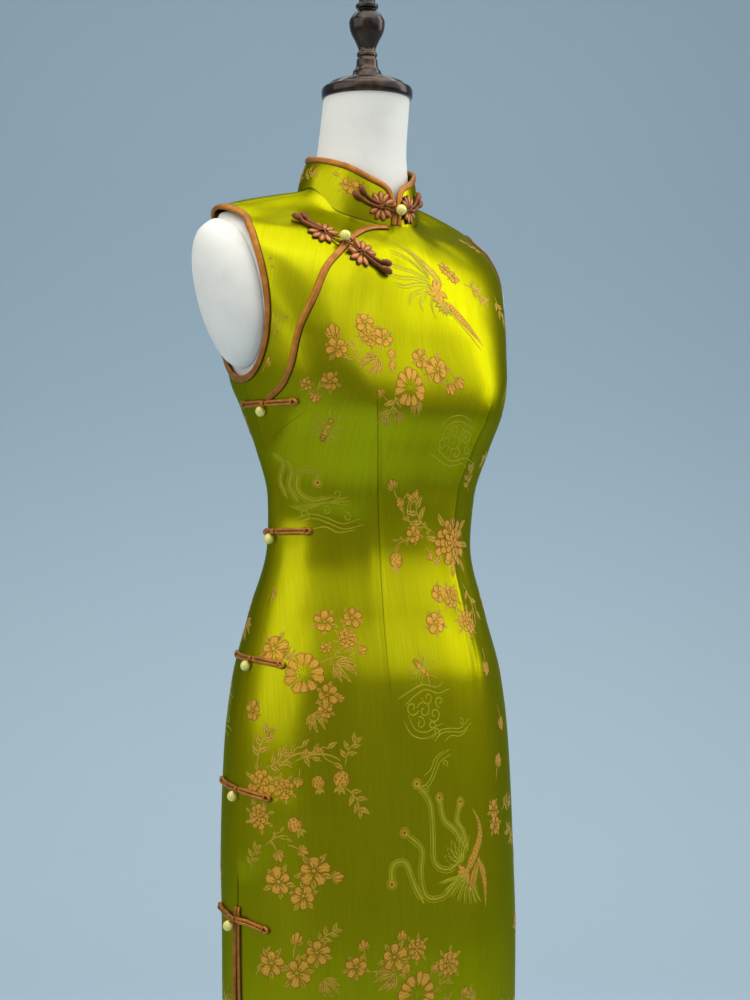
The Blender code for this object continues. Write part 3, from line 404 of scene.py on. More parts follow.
    def side_turn(self, depth: Points, rise: Points) -> Points:
        """Turn, on the wearer's left, at which the surface has the given depth in Y."""
        low, high = np.full(rise.shape, math.radians(15)), np.full(rise.shape, math.radians(165))
        return halve(lambda turn: self.point(turn, rise)[..., 1] < depth, low, high)


@dataclass(frozen=True)
class CollarShape(Surface):
    """The outer face of the stand collar: angle round the neck, and share of its height."""

    worn: WornShape
    top: Table = (
        (0.0, 0.3700),
        (25.0, 0.3800),
        (56.0, 0.3950),
        (90.0, 0.4040),
        (130.0, 0.4100),
        (180.0, 0.4120),
    )
    top_radius: float = 0.0558
    top_middle: float = 0.0106
    bow: float = 0.0016
    corner_drop: float = 0.62
    corner_turn: float = math.radians(3.2)
    end: float = math.radians(1.0)
    crowding: float = 1.6
    lift: float = 0.0010
    seam: list = field(default_factory=list)

    def seam_rise(self, around: Points) -> Points:
        """Rise of the neck seam at each angle from the centre front."""
        if not self.seam:
            turn = np.linspace(0, math.pi, 181)
            rise = self.worn.neckline_rise(turn)
            point = self.worn.point(turn, rise)
            angle = np.arctan2(point[:, 0], self.worn.neck_middle - point[:, 1])
            self.seam.extend([angle, rise])
        return np.interp(around, self.seam[0], self.seam[1])

    def point(self, along: Points, across: Points) -> Points:
        """Points of the collar; along is the angle round it and across the share of height."""
        turn, share = np.broadcast_arrays(np.asarray(along, float), np.asarray(across, float))
        around = np.abs(wrapped(turn))
        top_rise = curve_value(self.top, 1, np.degrees(around))
        foot_rise = self.seam_rise(around) + self.lift
        foot = self.worn.neck_seam_radius
        radius = foot + (self.top_radius - foot) * share + self.bow * 4 * share * (1 - share)
        middle = self.worn.neck_middle + (self.top_middle - self.worn.neck_middle) * share
        height = self.worn.waist + (foot_rise + (top_rise - foot_rise) * share)
        return np.stack([radius * np.sin(turn), middle - radius * np.cos(turn), height], -1)

    def top_share(self, turn: Points) -> Points:
        """Share of the height at the top edge, which falls away at the front corners."""
        around = np.abs(wrapped(turn))
        return 1 - self.corner_drop * np.exp(-around / self.corner_turn)

    def turns(self, count: int) -> Points:
        """Angles round the collar, closer together at its front corners."""
        spread = np.linspace(-1, 1, count)
        eased = np.sign(spread) * (1 - (1 - np.abs(spread)) ** self.crowding)
        return math.pi + (math.pi - self.end) * eased


# ---------------------------------------------------------------- meshes
@dataclass
class MeshDraft:
    """Points and faces of a piece while it is being made."""

    name: str
    points: list = field(default_factory=list)
    faces: list = field(default_factory=list)
    flat: list = field(default_factory=list)
    size: int = 0

    def add(self, points: Points, faces: Sequence[Sequence[int]], flat: Points) -> None:
        """Add a body of its own to the piece.

        Args:
            points: Its points, in space.
            faces: Its faces, as numbers of its own points.
            flat: Where each point lies on the cut cloth or cord, in metres.
        """
        points = np.asarray(points, float).reshape(-1, 3)
        self.points.append(points)
        self.flat.append(np.asarray(flat, float).reshape(-1, 2))
        self.faces.extend(tuple(self.size + corner for corner in face) for face in faces)
        self.size += len(points)

    def add_tube(self, rings: Points, closed: bool) -> None:
        """Add a tube through a row of equal rings.

        Args:
            rings: Points of each ring.
            closed: Whether the last ring joins the first; otherwise both ends are capped.
        """
        count, size = rings.shape[:2]
        run = run_along(rings.mean(axis=1))
        girth = np.linalg.norm(np.roll(rings, -1, axis=1) - rings, axis=-1).sum(axis=1).mean()
        across = np.arange(size) * girth / size
        flat = np.stack(np.meshgrid(across, run), -1)
        faces = []
        for ring in range(count if closed else count - 1):
            after = (ring + 1) % count
            for corner in range(size):
                beside = (corner + 1) % size
                low, high = ring * size, after * size
                faces.append((low + corner, low + beside, high + beside, high + corner))
        points, flats = rings.reshape(-1, 3), flat.reshape(-1, 2)
        if not closed:
            for ring, turned in ((0, True), (count - 1, False)):
                tip = len(points)
                points = np.concatenate([points, rings[ring].mean(axis=0)[None]])
                flats = np.concatenate([flats, flat[ring, :1]])
                for corner in range(size):
                    pair = (ring * size + corner, ring * size + (corner + 1) % size)
                    faces.append((pair[1], pair[0], tip) if turned else (pair[0], pair[1], tip))
        self.add(points, faces, flats)

    def made(self, finish: bpy.types.Material) -> bpy.types.Object:
        """Turn the draft into a smooth mesh object with outward faces and its flat map.

        Args:
            finish: The piece's material.

        Returns:
            The new object, at the origin.
        """
        mesh = bpy.data.meshes.new(self.name)
        mesh.from_pydata(np.concatenate(self.points).tolist(), [], self.faces)
        flat = np.concatenate(self.flat)
        layer = mesh.uv_layers.new(name="cut")
        corners = np.empty(len(mesh.loops), int)
        mesh.loops.foreach_get("vertex_index", corners)
        layer.data.foreach_set("uv", flat[corners].ravel())
        shape = bmesh.new()
        shape.from_mesh(mesh)
        bmesh.ops.recalc_face_normals(shape, faces=shape.faces)
        shape.to_mesh(mesh)
        shape.free()
        mesh.shade_smooth()
        mesh.materials.append(finish)
        made = bpy.data.objects.new(self.name, mesh)
        bpy.context.scene.collection.objects.link(made)
        return made


def soften_edges(piece: bpy.types.Object, degrees: float = 50) -> None:
    """Shade a piece smooth except where its faces meet at a sharp angle."""
    piece.data.set_sharp_from_angle(angle=math.radians(degrees))


class Riding:
    """Shared steps that fix a finished piece to the model."""

    @staticmethod
    def settle(piece: bpy.types.Object, slot: str, *nodes: str) -> None:
        """Make a piece ride and stand for solids.

        Args:
            piece: The finished piece.
            slot: Not used.
            nodes: Solids that the piece stands for.
        """
        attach(piece, "root")
        if nodes:
            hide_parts(*nodes)
        LOG.info("%s: %d faces", piece.name, len(piece.data.polygons))


# ---------------------------------------------------------------- the cut of the dress
@dataclass(frozen=True)
class DressCut:
    """Edges and panels of the dress, as paths and grids of turns and rises.

    Counts are numbers of cells; sign is 1 on the wearer's left and -1 on the right.
    """

    worn: WornShape
    slit_top: float = -0.365
    slit_gap: float = 0.026
    slit_start: float = 0.0008
    slit_spread: float = 1.3
    seam: float = 0.0003
    lap: float = 0.0027
    under: float = 0.018
    lap_fall: float = 0.035
    lap_foot: float = -0.290
    side_opening_top: float = 0.148
    underarm: float = 0.171
    side_names: tuple[str, ...] = ("rise", "seam", "edge")
    sides: Table = (
        (-0.840, 90.0, 90.0),
        (0.020, 90.0, 89.0),
        (0.080, 91.0, 87.5),
        (0.127, 93.5, 86.0),
        (0.148, 95.0, 82.5),
        (0.171, 96.5, 70.0),
    )
    opening: Table = (
        (0.148, 82.5),
        (0.161, 73.0),
        (0.178, 68.0),
        (0.212, 63.0),
        (0.244, 56.5),
        (0.279, 50.5),
        (0.296, 45.0),
        (0.311, 39.5),
        (0.3215, 31.0),
        (0.3265, 20.0),
        (0.3285, 10.0),
    )
    opening_turn_point: int = 8
    armhole_rise: float = 0.257
    armhole_half_height: float = 0.086
    armhole_foot_y: float = 0.016
    armhole_top_y: float = 0.0355
    armhole_front: float = 0.060
    armhole_back: float = 0.055
    skirt_rows: int = 90
    trunk_rows: int = 104
    side_rows: int = 5
    armhole_rows: int = 40
    shoulder_rows: int = 14
    front_columns: int = 84
    neck_columns: int = 50
    back_columns: int = 84
    flap_rows: int = 22
    flap_columns: int = 32
    strip_low: tuple[float, float] = (-0.2795, -0.2368)
    strip_high: tuple[float, float] = (0.0625, 0.1052)

    def side_path(self, column: str, sign: int, low: float, high: float, count: int) -> Points:
        """Path up a side: the seam, or the lapped edge."""
        rise = np.linspace(low, high, count + 1)
        turn = np.radians(curve_value(self.sides, self.side_names.index(column), rise))
        return np.stack([sign * turn, rise], -1)

    def slit_path(self, sign: int, low: float, count: int) -> Points:
        """Path up a slit's edge, which stands back further towards the hem."""
        rise = np.linspace(low, self.slit_top, count + 1)
        part = (self.slit_top - rise) / (self.slit_top - self.worn.hem)
        half_gap = self.slit_start + self.slit_gap / 2 * part**self.slit_spread
        turn = sign * (QUARTER - half_gap / self.worn.section("half_width", rise))
        return np.stack([turn, rise], -1)

    def hem_path(self, start: Points, end: Points, count: int) -> Points:
        """Level path along the hem between two places."""
        turn = np.linspace(start[0], end[0], 3 * count + 1)
        return self.worn.evenly(np.stack([turn, np.full(turn.shape, self.worn.hem)], -1), count)

    @staticmethod
    def behind(path: Points) -> Points:
        """The same path on the back, as the front's mirror image."""
        return np.stack([math.pi - path[:, 0], path[:, 1]], -1)

    def inset(self, path: Points, amount: Union[float, Points]) -> Points:
        """Move a path round the body by a seam's half gap."""
        turn = path[:, 0] + amount / self.worn.radius(path[:, 0], path[:, 1])
        return np.stack([turn, path[:, 1]], -1)

    def armhole_depth(self, angle: Points, rise: Points) -> Points:
        """Depth in Y of an armhole's edge at an angle round it."""
        part = (rise - self.underarm) / (2 * self.armhole_half_height)
        middle = self.armhole_foot_y + (self.armhole_top_y - self.armhole_foot_y) * part
        reach = np.where(np.sin(angle) > 0, self.armhole_front, self.armhole_back)
        return middle - reach * np.sin(angle)

    def armhole_path(self, sign: int, start: float, end: float, count: int) -> Points:
        """Path on an armhole; its angle is 0 at the shoulder, half a turn at the underarm."""
        angle = np.linspace(start, end, 4 * count + 1)
        rise = self.armhole_rise + self.armhole_half_height * np.cos(angle)
        turn = sign * self.worn.side_turn(self.armhole_depth(angle, rise), rise)
        return self.worn.evenly(np.stack([turn, rise], -1), count)

    def shoulder_path(self, sign: int, count: int) -> Points:
        """Path up the shoulder seam, from the armhole to the neck seam."""
        turn = sign * QUARTER
        tip = self.armhole_rise + self.armhole_half_height
        rise = np.linspace(tip, float(self.worn.neckline_rise(turn)), 4 * count + 1)
        return self.worn.evenly(np.stack([np.full(rise.shape, turn), rise], -1), count)

    def neckline_path(self, start: float, end: float, count: int) -> Points:
        """Path round the neck seam between two turns."""
        turn = np.linspace(start, end, 4 * count + 1)
        return self.worn.evenly(np.stack([turn, self.worn.neckline_rise(turn)], -1), count)

    def opening_path(self) -> tuple[Points, Points]:
        """Slanted opening, split where it turns to run along the neck seam."""
        knots = [(-math.radians(degrees), rise) for rise, degrees in self.opening]
        knots.append((0.0, float(self.worn.neckline_rise(0.0))))
        knots = np.array(knots)
        span = run_along(knots)
        at = np.linspace(0, span[-1], 241)
        columns = [curve_value(np.stack([span, knots[:, k]], -1), 1, at) for k in range(2)]
        whole = np.stack(columns, -1)
        corner = np.argmin(np.abs(whole[:, 0] - knots[self.opening_turn_point][0]))
        return whole[: corner + 1], whole[corner:]

    def lapped_edge(self) -> Points:
        """Edge of the front that laps over: up the side, then the slanted opening."""
        side = self.side_path("edge", -1, self.slit_top, self.side_opening_top, 80)
        return joined(side, *self.opening_path())

    def lap_lift(self, place: Points) -> Points:
        """Lift of the front panel, which rises to lie over the flap beneath its edge."""
        edge = self.lapped_edge()
        edge = edge[edge[:, 1] > self.lap_foot]
        line = self.worn.point(edge[:, 0], edge[:, 1])
        points = self.worn.point(place[..., 0], place[..., 1])
        near = np.full(points.shape[:-1], np.inf)
        for spot in line[::2]:
            near = np.minimum(near, np.linalg.norm(points - spot, axis=-1))
        return self.lap * (1 - ease((near - self.under * 1.25) / self.lap_fall))

    def with_reach(self, path: Points) -> Points:
        """Give a path's places by reach instead of rise."""
        return np.stack([path[:, 0], self.worn.reach(path[:, 0], path[:, 1])], -1)

    def patch(self, left: Points, right: Points, bottom: Points, top: Points) -> Points:
        """Fill four edges of a panel with a grid of places.

        Args:
            left: Path up one side.
            right: Path up the other side, of as many places.
            bottom: Path between the lower ends.
            top: Path between the upper ends.

        Returns:
            Grid of turns and rises, evenly spread in reach.
        """
        edges = left, right, bottom, top
        left, right, bottom, top = (self.with_reach(edge) for edge in edges)
        across = np.linspace(0, 1, len(bottom))[None, :, None]
        up = np.linspace(0, 1, len(left))[:, None, None]
        sides = (1 - across) * left[:, None] + across * right[:, None]
        ends = (1 - up) * bottom[None, :] + up * top[None, :]
        low = (1 - across) * left[0] + across * right[0]
        high = (1 - across) * left[-1] + across * right[-1]
        grid = sides + ends - (1 - up) * low - up * high
        places = np.stack([grid[..., 0], self.worn.rise_at(grid[..., 0], grid[..., 1])], -1)
        places[:, 0], places[:, -1], places[0], places[-1] = edges
        return places

    def whole_side(self, sign: int, facing: int) -> Points:
        """Edge of a panel on a side without an opening: hem, slit, seam, armhole, shoulder.

        Args:
            sign: Side of the wearer.
            facing: 1 for the front panel's edge and -1 for the back panel's.

        Returns:
            The path, upwards.
        """
        gap = -sign * self.seam / 2
        lower = self.slit_path(sign, self.worn.hem, self.skirt_rows)
        seam = self.side_path("seam", sign, self.slit_top, self.side_opening_top, self.trunk_rows)
        under = self.side_path("seam", sign, self.side_opening_top, self.underarm, self.side_rows)
        arm = self.armhole_path(sign, facing * math.pi, 0, self.armhole_rows)
        shoulder = self.shoulder_path(sign, self.shoulder_rows)
        if facing < 0:
            lower = self.behind(lower)
        seam, under, shoulder = (self.inset(path, facing * gap) for path in (seam, under, shoulder))
        return joined(lower, seam, under, arm, shoulder)

    def front(self) -> Points:
        """Grid of the front panel, from its lapped edge to the wearer's left side."""
        slant, level = self.opening_path()
        slant_rows = self.side_rows + self.armhole_rows + self.shoulder_rows
        left = joined(
            self.slit_path(-1, self.worn.hem, self.skirt_rows),
            self.side_path("edge", -1, self.slit_top, self.side_opening_top, self.trunk_rows),
            self.worn.evenly(slant, slant_rows),
        )
        right = self.whole_side(1, 1)
        neck_end = QUARTER - self.seam / 2 / self.worn.neck_seam_radius
        top = joined(
            self.worn.evenly(level, self.front_columns - self.neck_columns),
            self.neckline_path(0.0, neck_end, self.neck_columns),
        )
        return self.patch(left, right, self.hem_path(left[0], right[0], self.front_columns), top)

    def strip_width(self, rise: Points) -> Points:
        """Width of the back's strip under the lapped front at a rise."""
        part = ease((rise - self.strip_low[0]) / (self.strip_low[1] - self.strip_low[0]))
        part = part * (1 - ease((rise - self.strip_high[0]) / (self.strip_high[1] - self.strip_high[0])))
        return self.under * 0.8 * part

    def back(self) -> Points:
        """Grid of the back panel, with its strip under the front on the wearer's right."""
        left = self.whole_side(1, -1)
        right = np.stack([FULL - left[:, 0], left[:, 1]], -1)
        right = self.inset(right, self.strip_width(right[:, 1]))
        bottom = self.hem_path(left[0], right[0], self.back_columns)
        top = self.neckline_path(left[-1][0], right[-1][0], self.back_columns)
        return self.patch(left, right, bottom, top)

    def flap(self) -> Points:
        """Grid of the flap under the slanted opening."""
        gap, foot = self.seam / 2, self.strip_high[0]
        side = self.side_path("seam", -1, foot, self.underarm, self.flap_rows)
        left = joined(
            self.inset(side, gap + self.strip_width(side[:, 1])),
            self.armhole_path(-1, math.pi, 0, self.armhole_rows),
            self.inset(self.shoulder_path(-1, self.shoulder_rows), gap),
        )
        slant, level = self.opening_path()
        edge = joined(
            self.side_path("edge", -1, foot, self.side_opening_top, self.flap_rows),
            slant,
            level[: -len(level) // 2],
        )
        hidden = self.worn.shifted(self.worn.evenly(edge, 60), -self.under)
        end_turn = math.radians(3)
        end = np.array([[end_turn, float(self.worn.neckline_rise(end_turn))]])
        right = self.worn.evenly(np.concatenate([hidden, end]), len(left) - 1)
        bottom = self.worn.evenly(np.stack([left[0], right[0]]), self.flap_columns)
        top = self.neckline_path(left[-1][0], end_turn, self.flap_columns)
        return self.patch(left, right, bottom, top)

    def skirt_edge(self, front: bool) -> Points:
        """Path down a slit, round the hem and up the other slit, the cloth on its left."""
        down = self.slit_path(-1, self.worn.hem, self.skirt_rows)[::-1]
        up = self.slit_path(1, self.worn.hem, self.skirt_rows)
        hem = self.hem_path(down[-1], up[0], self.front_columns if front else self.back_columns)
        path = joined(down, hem, up)
        return path if front else self.behind(path)[::-1]


# ---------------------------------------------------------------- finishes
Number = Union[float, "Signal"]
Colour = tuple[float, float, float]


@dataclass(frozen=True)
class Signal:
    """A value or vector that runs through a shader, with arithmetic on it."""

    shader: "Shader"
    socket: bpy.types.NodeSocket

    def __add__(self, other: Number) -> "Signal":
        """Sum."""
        return self.shader.maths("ADD", self, other)

    __radd__ = __add__

    def __sub__(self, other: Number) -> "Signal":
        """Difference."""
        return self.shader.maths("SUBTRACT", self, other)

    def __rsub__(self, other: Number) -> "Signal":
        """Difference the other way round."""
        return self.shader.maths("SUBTRACT", other, self)

    def __mul__(self, other: Number) -> "Signal":
        """Product."""
        return self.shader.maths("MULTIPLY", self, other)

    __rmul__ = __mul__

    def __truediv__(self, other: Number) -> "Signal":
        """Quotient."""
        return self.shader.maths("DIVIDE", self, other)

    def __rtruediv__(self, other: Number) -> "Signal":
        """Quotient the other way round."""
        return self.shader.maths("DIVIDE", other, self)

    def __pow__(self, other: Number) -> "Signal":
        """Power."""
        return self.shader.maths("POWER", self, other)

    def __abs__(self) -> "Signal":
        """Size without sign."""
        return self.shader.maths("ABSOLUTE", self, 0.0)

    def ramp(self, low: float, high: float) -> "Signal":
        """Smooth step from 0 at low to 1 at high."""
        settings = {"interpolation_type": "SMOOTHSTEP"}
        inputs = {"Value": self, "From Min": low, "From Max": high}
        return self.shader.node("ShaderNodeMapRange", settings, inputs)

    def part(self, name: str) -> "Signal":
        """X, Y or Z of a vector."""
        return self.shader.node("ShaderNodeSeparateXYZ", {}, {"Vector": self}, name)


class Shader:
    """Builds one procedural material."""

    def __init__(self, name: str) -> None:
        """Start a material with a Principled surface."""
        self.made = bpy.data.materials.new(name)
        self.made.use_nodes = True
        self.tree = self.made.node_tree
        self.surface = self.tree.nodes["Principled BSDF"]

    def node(self, kind: str, settings: dict, inputs: dict, output: Union[int, str] = 0) -> Signal:
        """Add a node.

        Args:
            kind: Its type.
            settings: Its properties.
            inputs: Its sockets, by name or number, as constants or signals.
            output: The socket to read.

        Returns:
            The chosen output.
        """
        node = self.tree.nodes.new(kind)
        for name, value in settings.items():
            setattr(node, name, value)
        for name, value in inputs.items():
            if isinstance(value, Signal):
                self.tree.links.new(value.socket, node.inputs[name])
            else:
                node.inputs[name].default_value = value
        return Signal(self, node.outputs[output])

    def maths(self, operation: str, first: Number, second: Number) -> Signal:
        """Arithmetic on two numbers."""
        return self.node("ShaderNodeMath", {"operation": operation}, {0: first, 1: second})

    def place(self, *scale: float) -> Signal:
        """Object coordinates, stretched along each axis."""
        raw = self.node("ShaderNodeTexCoord", {}, {}, "Object")
        return self.vector(raw, *scale)

    def cut(self, *scale: float) -> Signal:
        """Coordinates on the flat cut cloth, stretched along each axis."""
        raw = self.node("ShaderNodeUVMap", {"uv_map": "cut"}, {})
        return self.vector(raw, *scale)

    def vector(self, raw: Signal, *scale: float) -> Signal:
        """Stretch a vector along each axis."""
        if not scale:
            return raw
        inputs = {0: raw, 1: (scale * 3)[:3]}
        return self.node("ShaderNodeVectorMath", {"operation": "MULTIPLY"}, inputs)

    def mark(self, name: str) -> Signal:
        """A value that the mesh carries at its points."""
        return self.node("ShaderNodeAttribute", {"attribute_name": name}, {}, "Vector")

    def noise(self, where: Signal, size: float, detail: float = 2.0, rough: float = 0.5) -> Signal:
        """Noise whose patches are about size metres across."""
        inputs = {"Vector": where, "Scale": 1 / size, "Detail": detail, "Roughness": rough}
        return self.node("ShaderNodeTexNoise", {}, inputs)

    def waves(self, where: Signal, pitch: float, direction: str, bend: float = 0.0) -> Signal:
        """Even ribs at a pitch in metres, across a direction."""
        settings = {"bands_direction": direction}
        inputs = {"Vector": where, "Scale": math.pi / 10 / pitch, "Distortion": bend, "Detail": 1.0}
        return self.node("ShaderNodeTexWave", settings, inputs)

    def mixed(self, share: Number, first: Union[Colour, Signal], second: Union[Colour, Signal]) -> Signal:
        """Blend two colours; share 1 gives the second."""
        inputs = {0: share}
        for number, colour in ((6, first), (7, second)):
            inputs[number] = colour if isinstance(colour, Signal) else (*colour, 1.0)
        return self.node("ShaderNodeMix", {"data_type": "RGBA", "clamp_factor": True}, inputs, 2)

    def bump(self, height: Signal, depth: float, under: Optional[Signal] = None) -> Signal:
        """Small relief of a depth in metres, over another where one is given."""
        inputs = {"Height": height, "Distance": depth, "Strength": 1.0}
        if under is not None:
            inputs["Normal"] = under
        return self.node("ShaderNodeBump", {}, inputs)

    def finish(self, **values: Union[Number, Colour, Signal]) -> bpy.types.Material:
        """Set the surface's sockets, named with underscores, and give the material."""
        for name, value in values.items():
            socket = self.surface.inputs[name.replace("_", " ").title().replace("Ior", "IOR")]
            if isinstance(value, Signal):
                self.tree.links.new(value.socket, socket)
            else:
                socket.default_value = (*value, 1.0) if isinstance(value, tuple) else value
        return self.made


@dataclass(frozen=True)
class SatinGround:
    """Lime silk satin: fine warp threads, slubs along them and sewn darts, with painted shade along the
    darts' seams.
    """

    name: str
    base: Colour = (0.385, 0.390, 0.0040)
    deep: Colour = (0.300, 0.293, 0.0030)
    worn_gold: Colour = (0.380, 0.300, 0.0040)
    metallic: float = 0.94
    roughness: float = 0.25
    thread: float = 0.00045
    rim: Colour = (0.42, 0.45, 0.08)
    # Colour of the painted shade along each dart's seam.
    dart_seam_shade: Colour = (0.07, 0.08, 0.001)
    darts: bool = False

    def make(self) -> bpy.types.Material:
        """Build the material."""
        shader = Shader(self.name)
        warp = shader.cut(1.0, 0.03)
        slub = shader.noise(warp, 0.0016, 3.0)
        broad = shader.noise(shader.cut(1.0, 0.35), 0.045, 2.0)
        streak = shader.noise(shader.cut(1.0, 0.06), 0.010, 2.0).ramp(0.42, 0.75)
        tone = shader.mixed(slub.ramp(0.30, 0.72) * 0.55, self.base, self.deep)
        tone = shader.mixed(broad.ramp(0.45, 0.75) * 0.28, tone, self.deep)
        tone = shader.mixed(streak * 0.20, tone, self.worn_gold)
        threads = shader.waves(shader.cut(), self.thread, "X", 0.4)
        crossing = shader.waves(shader.cut(), self.thread * 1.35, "Y", 0.6)
        relief = shader.bump(threads * 0.6 + crossing * 0.4, 0.00001)
        relief = shader.bump(slub, 0.000012, relief)
        relief = shader.bump(shader.noise(shader.place(1.0, 1.0, 0.45), 0.045, 1.0), 0.0007, relief)
        if self.darts:
            line, deep = shader.mark("darts"), shader.mark("sewn")
            waist, bust = abs(line.part("X")), abs(line.part("Y"))
            sewn = (1 - waist.ramp(0.0002, 0.0011)) * deep.part("X")
            sewn = sewn + (1 - bust.ramp(0.0002, 0.0010)) * deep.part("Y") * 0.6
            # Painted shade: the satin is darkened along each sewn dart's line, where the seam's crease would
            # be in shade.
            tone = shader.mixed(sewn * 0.60, tone, self.dart_seam_shade)
            pucker = (1 - waist.ramp(0.0, 0.006)) * deep.part("X")
            relief = shader.bump(pucker, 0.0005, relief)
        return shader.finish(
            base_color=tone,
            metallic=self.metallic,
            roughness=self.roughness + slub * 0.10,
            specular_ior_level=0.3,
            specular_tint=self.rim,
            normal=relief,
        )


@dataclass(frozen=True)
class BrocadeThread:
    """Raised brocade weft floats of one colour, with a fine ribbed twill."""

    name: str
    base: Colour
    other: Colour
    edge: Colour
    metallic: float = 0.55
    roughness: float = 0.46

    def make(self) -> bpy.types.Material:
        """Build the material."""
        shader = Shader(self.name)
        twill = shader.waves(shader.place(1.0, 1.0, 1.0), 0.0011, "DIAGONAL", 0.8)
        wander = shader.noise(shader.place(), 0.012, 3.0)
        fine = shader.noise(shader.place(), 0.0022, 2.0)
        tone = shader.mixed(wander.ramp(0.35, 0.68), self.base, self.other)
        streak = shader.noise(shader.cut(0.0030, 0.20), 0.0010, 2.0)
        tone = shader.mixed(streak.ramp(0.46, 0.62) * 0.55, tone, self.edge)
        margin = abs(shader.cut().part("X")).ramp(0.55, 1.0)
        tone = shader.mixed(margin * 0.45, tone, self.edge)
        tone = shader.mixed(twill * 0.20, tone, self.edge)
        relief = shader.bump(twill * 0.7 + fine * 0.5, 0.00008)
        return shader.finish(
            base_color=tone,
            metallic=self.metallic,
            roughness=self.roughness + fine * 0.12,
            specular_ior_level=0.2,
            normal=relief,
        )


@dataclass(frozen=True)
class BiasSatin:
    """Copper satin cut on the bias for bindings and cords, darker along its seam."""

    name: str
    base: Colour = (0.450, 0.180, 0.026)
    deep: Colour = (0.190, 0.066, 0.009)
    seam_from: float = 1.0
    metallic: float = 0.60
    roughness: float = 0.36
    rib: float = 0.0012
    bias: float = 0.8

    def make(self) -> bpy.types.Material:
        """Build the material."""
        shader = Shader(self.name)
        inputs = {"Vector": shader.cut(), "Angle": self.bias}
        slant = shader.node("ShaderNodeVectorRotate", {"rotation_type": "Z_AXIS"}, inputs)
        ribs = shader.waves(slant, self.rib, "X", 0.7)
        wander = shader.noise(shader.place(), 0.010, 2.0)
        tone = shader.mixed(wander.ramp(0.35, 0.70) * 0.45 + ribs * 0.22, self.base, self.deep)
        across = shader.cut().part("X")
        seam = across.ramp(self.seam_from, self.seam_from + 0.0004)
        tone = shader.mixed(seam * 0.9, tone, tuple(0.35 * part for part in self.deep))
        relief = shader.bump(ribs, 0.00006)
        relief = shader.bump(wander, 0.0003, relief)
        return shader.finish(
            base_color=tone,
            metallic=self.metallic,
            roughness=self.roughness + wander * 0.12,
            specular_ior_level=0.25,
            normal=relief,
        )


@dataclass(frozen=True)
class PaleBead:
    """Pale yellow-green stone bead with faint clouds in it."""

    name: str = "pale_bead"
    base: Colour = (0.870, 0.780, 0.240)
    cloud: Colour = (0.700, 0.650, 0.150)

    def make(self) -> bpy.types.Material:
        """Build the material."""
        shader = Shader(self.name)
        veins = shader.noise(shader.place(), 0.0035, 4.0, 0.6)
        return shader.finish(
            base_color=shader.mixed(veins.ramp(0.35, 0.65), self.base, self.cloud),
            roughness=0.22 + veins * 0.08,
            coat_weight=0.4,
            coat_roughness=0.12,
            normal=shader.bump(veins, 0.00005),
        )


@dataclass(frozen=True)
class FormCover:
    """Off-white knitted cover of the form."""

    name: str = "form_cover"
    base: Colour = (0.800, 0.795, 0.755)
    shade: Colour = (0.690, 0.680, 0.630)
    knit: float = 0.0011

    def make(self) -> bpy.types.Material:
        """Build the material."""
        shader = Shader(self.name)
        ribs = shader.waves(shader.place(), self.knit, "Z", 0.8)
        wander = shader.noise(shader.place(), 0.035, 3.0)
        fine = shader.noise(shader.place(), 0.0014, 2.0)
        tone = shader.mixed(wander.ramp(0.4, 0.75) * 0.5 + ribs * 0.12, self.base, self.shade)
        relief = shader.bump(ribs * 0.5 + fine * 0.5, 0.00006)
        return shader.finish(base_color=tone, roughness=0.62 + fine * 0.12, sheen_weight=0.2, normal=relief)


@dataclass(frozen=True)
class DarkBronze:
    """Nearly black lacquered bronze, worn warmer in places."""

    name: str = "dark_bronze"
    base: Colour = (0.018, 0.014, 0.013)
    warm: Colour = (0.085, 0.048, 0.030)

    def make(self) -> bpy.types.Material:
        """Build the material."""
        shader = Shader(self.name)
        wear = shader.noise(shader.place(1.0, 1.0, 0.5), 0.020, 4.0, 0.6)
        scratch = shader.noise(shader.place(1.0, 1.0, 0.08), 0.0015, 2.0)
        return shader.finish(
            base_color=shader.mixed(wear.ramp(0.45, 0.72) * 0.8, self.base, self.warm),
            metallic=0.85,
            roughness=0.20 + wear * 0.14 + scratch * 0.06,
            coat_weight=0.35,
            coat_roughness=0.10,
            normal=shader.bump(scratch, 0.00003),
        )


@dataclass(frozen=True)
class PlainStudio:
    """Matt paint of the floor and the backdrop, painted lighter low down and darker towards the top as
    painted light.
    """

    name: str
    low: Colour = (0.505, 0.652, 0.775)
    high: Colour = (0.335, 0.455, 0.560)

    def make(self) -> bpy.types.Material:
        """Build the material."""
        shader = Shader(self.name)
        grain = shader.noise(shader.place(), 0.25, 2.0)
        # Painted light: the paint is lighter at the floor and darker up the wall, in place of the lamps'
        # fall-off.
        height = shader.place().part("Z").ramp(0.1, 2.3)
        tone = shader.mixed(height, self.low, self.high)
        tone = shader.mixed(grain * 0.06, tone, self.high)
        return shader.finish(base_color=tone, roughness=0.9)


# ---------------------------------------------------------------- cloth pieces
def arc_map(points: Points) -> Points:
    """Flat place of each grid point, by lengths run along its row and its column."""
    rows, columns = points.shape[:2]
    run = np.linalg.norm(np.diff(points, axis=1), axis=-1)
    along = np.concatenate([np.zeros((rows, 1)), np.cumsum(run, axis=1)], axis=1)
    along = along - along[:, columns // 2 : columns // 2 + 1]
    climb = np.linalg.norm(np.diff(points, axis=0), axis=-1)
    up = np.concatenate([np.zeros((1, columns)), np.cumsum(climb, axis=0)], axis=0)
    return np.stack([along, up], -1)


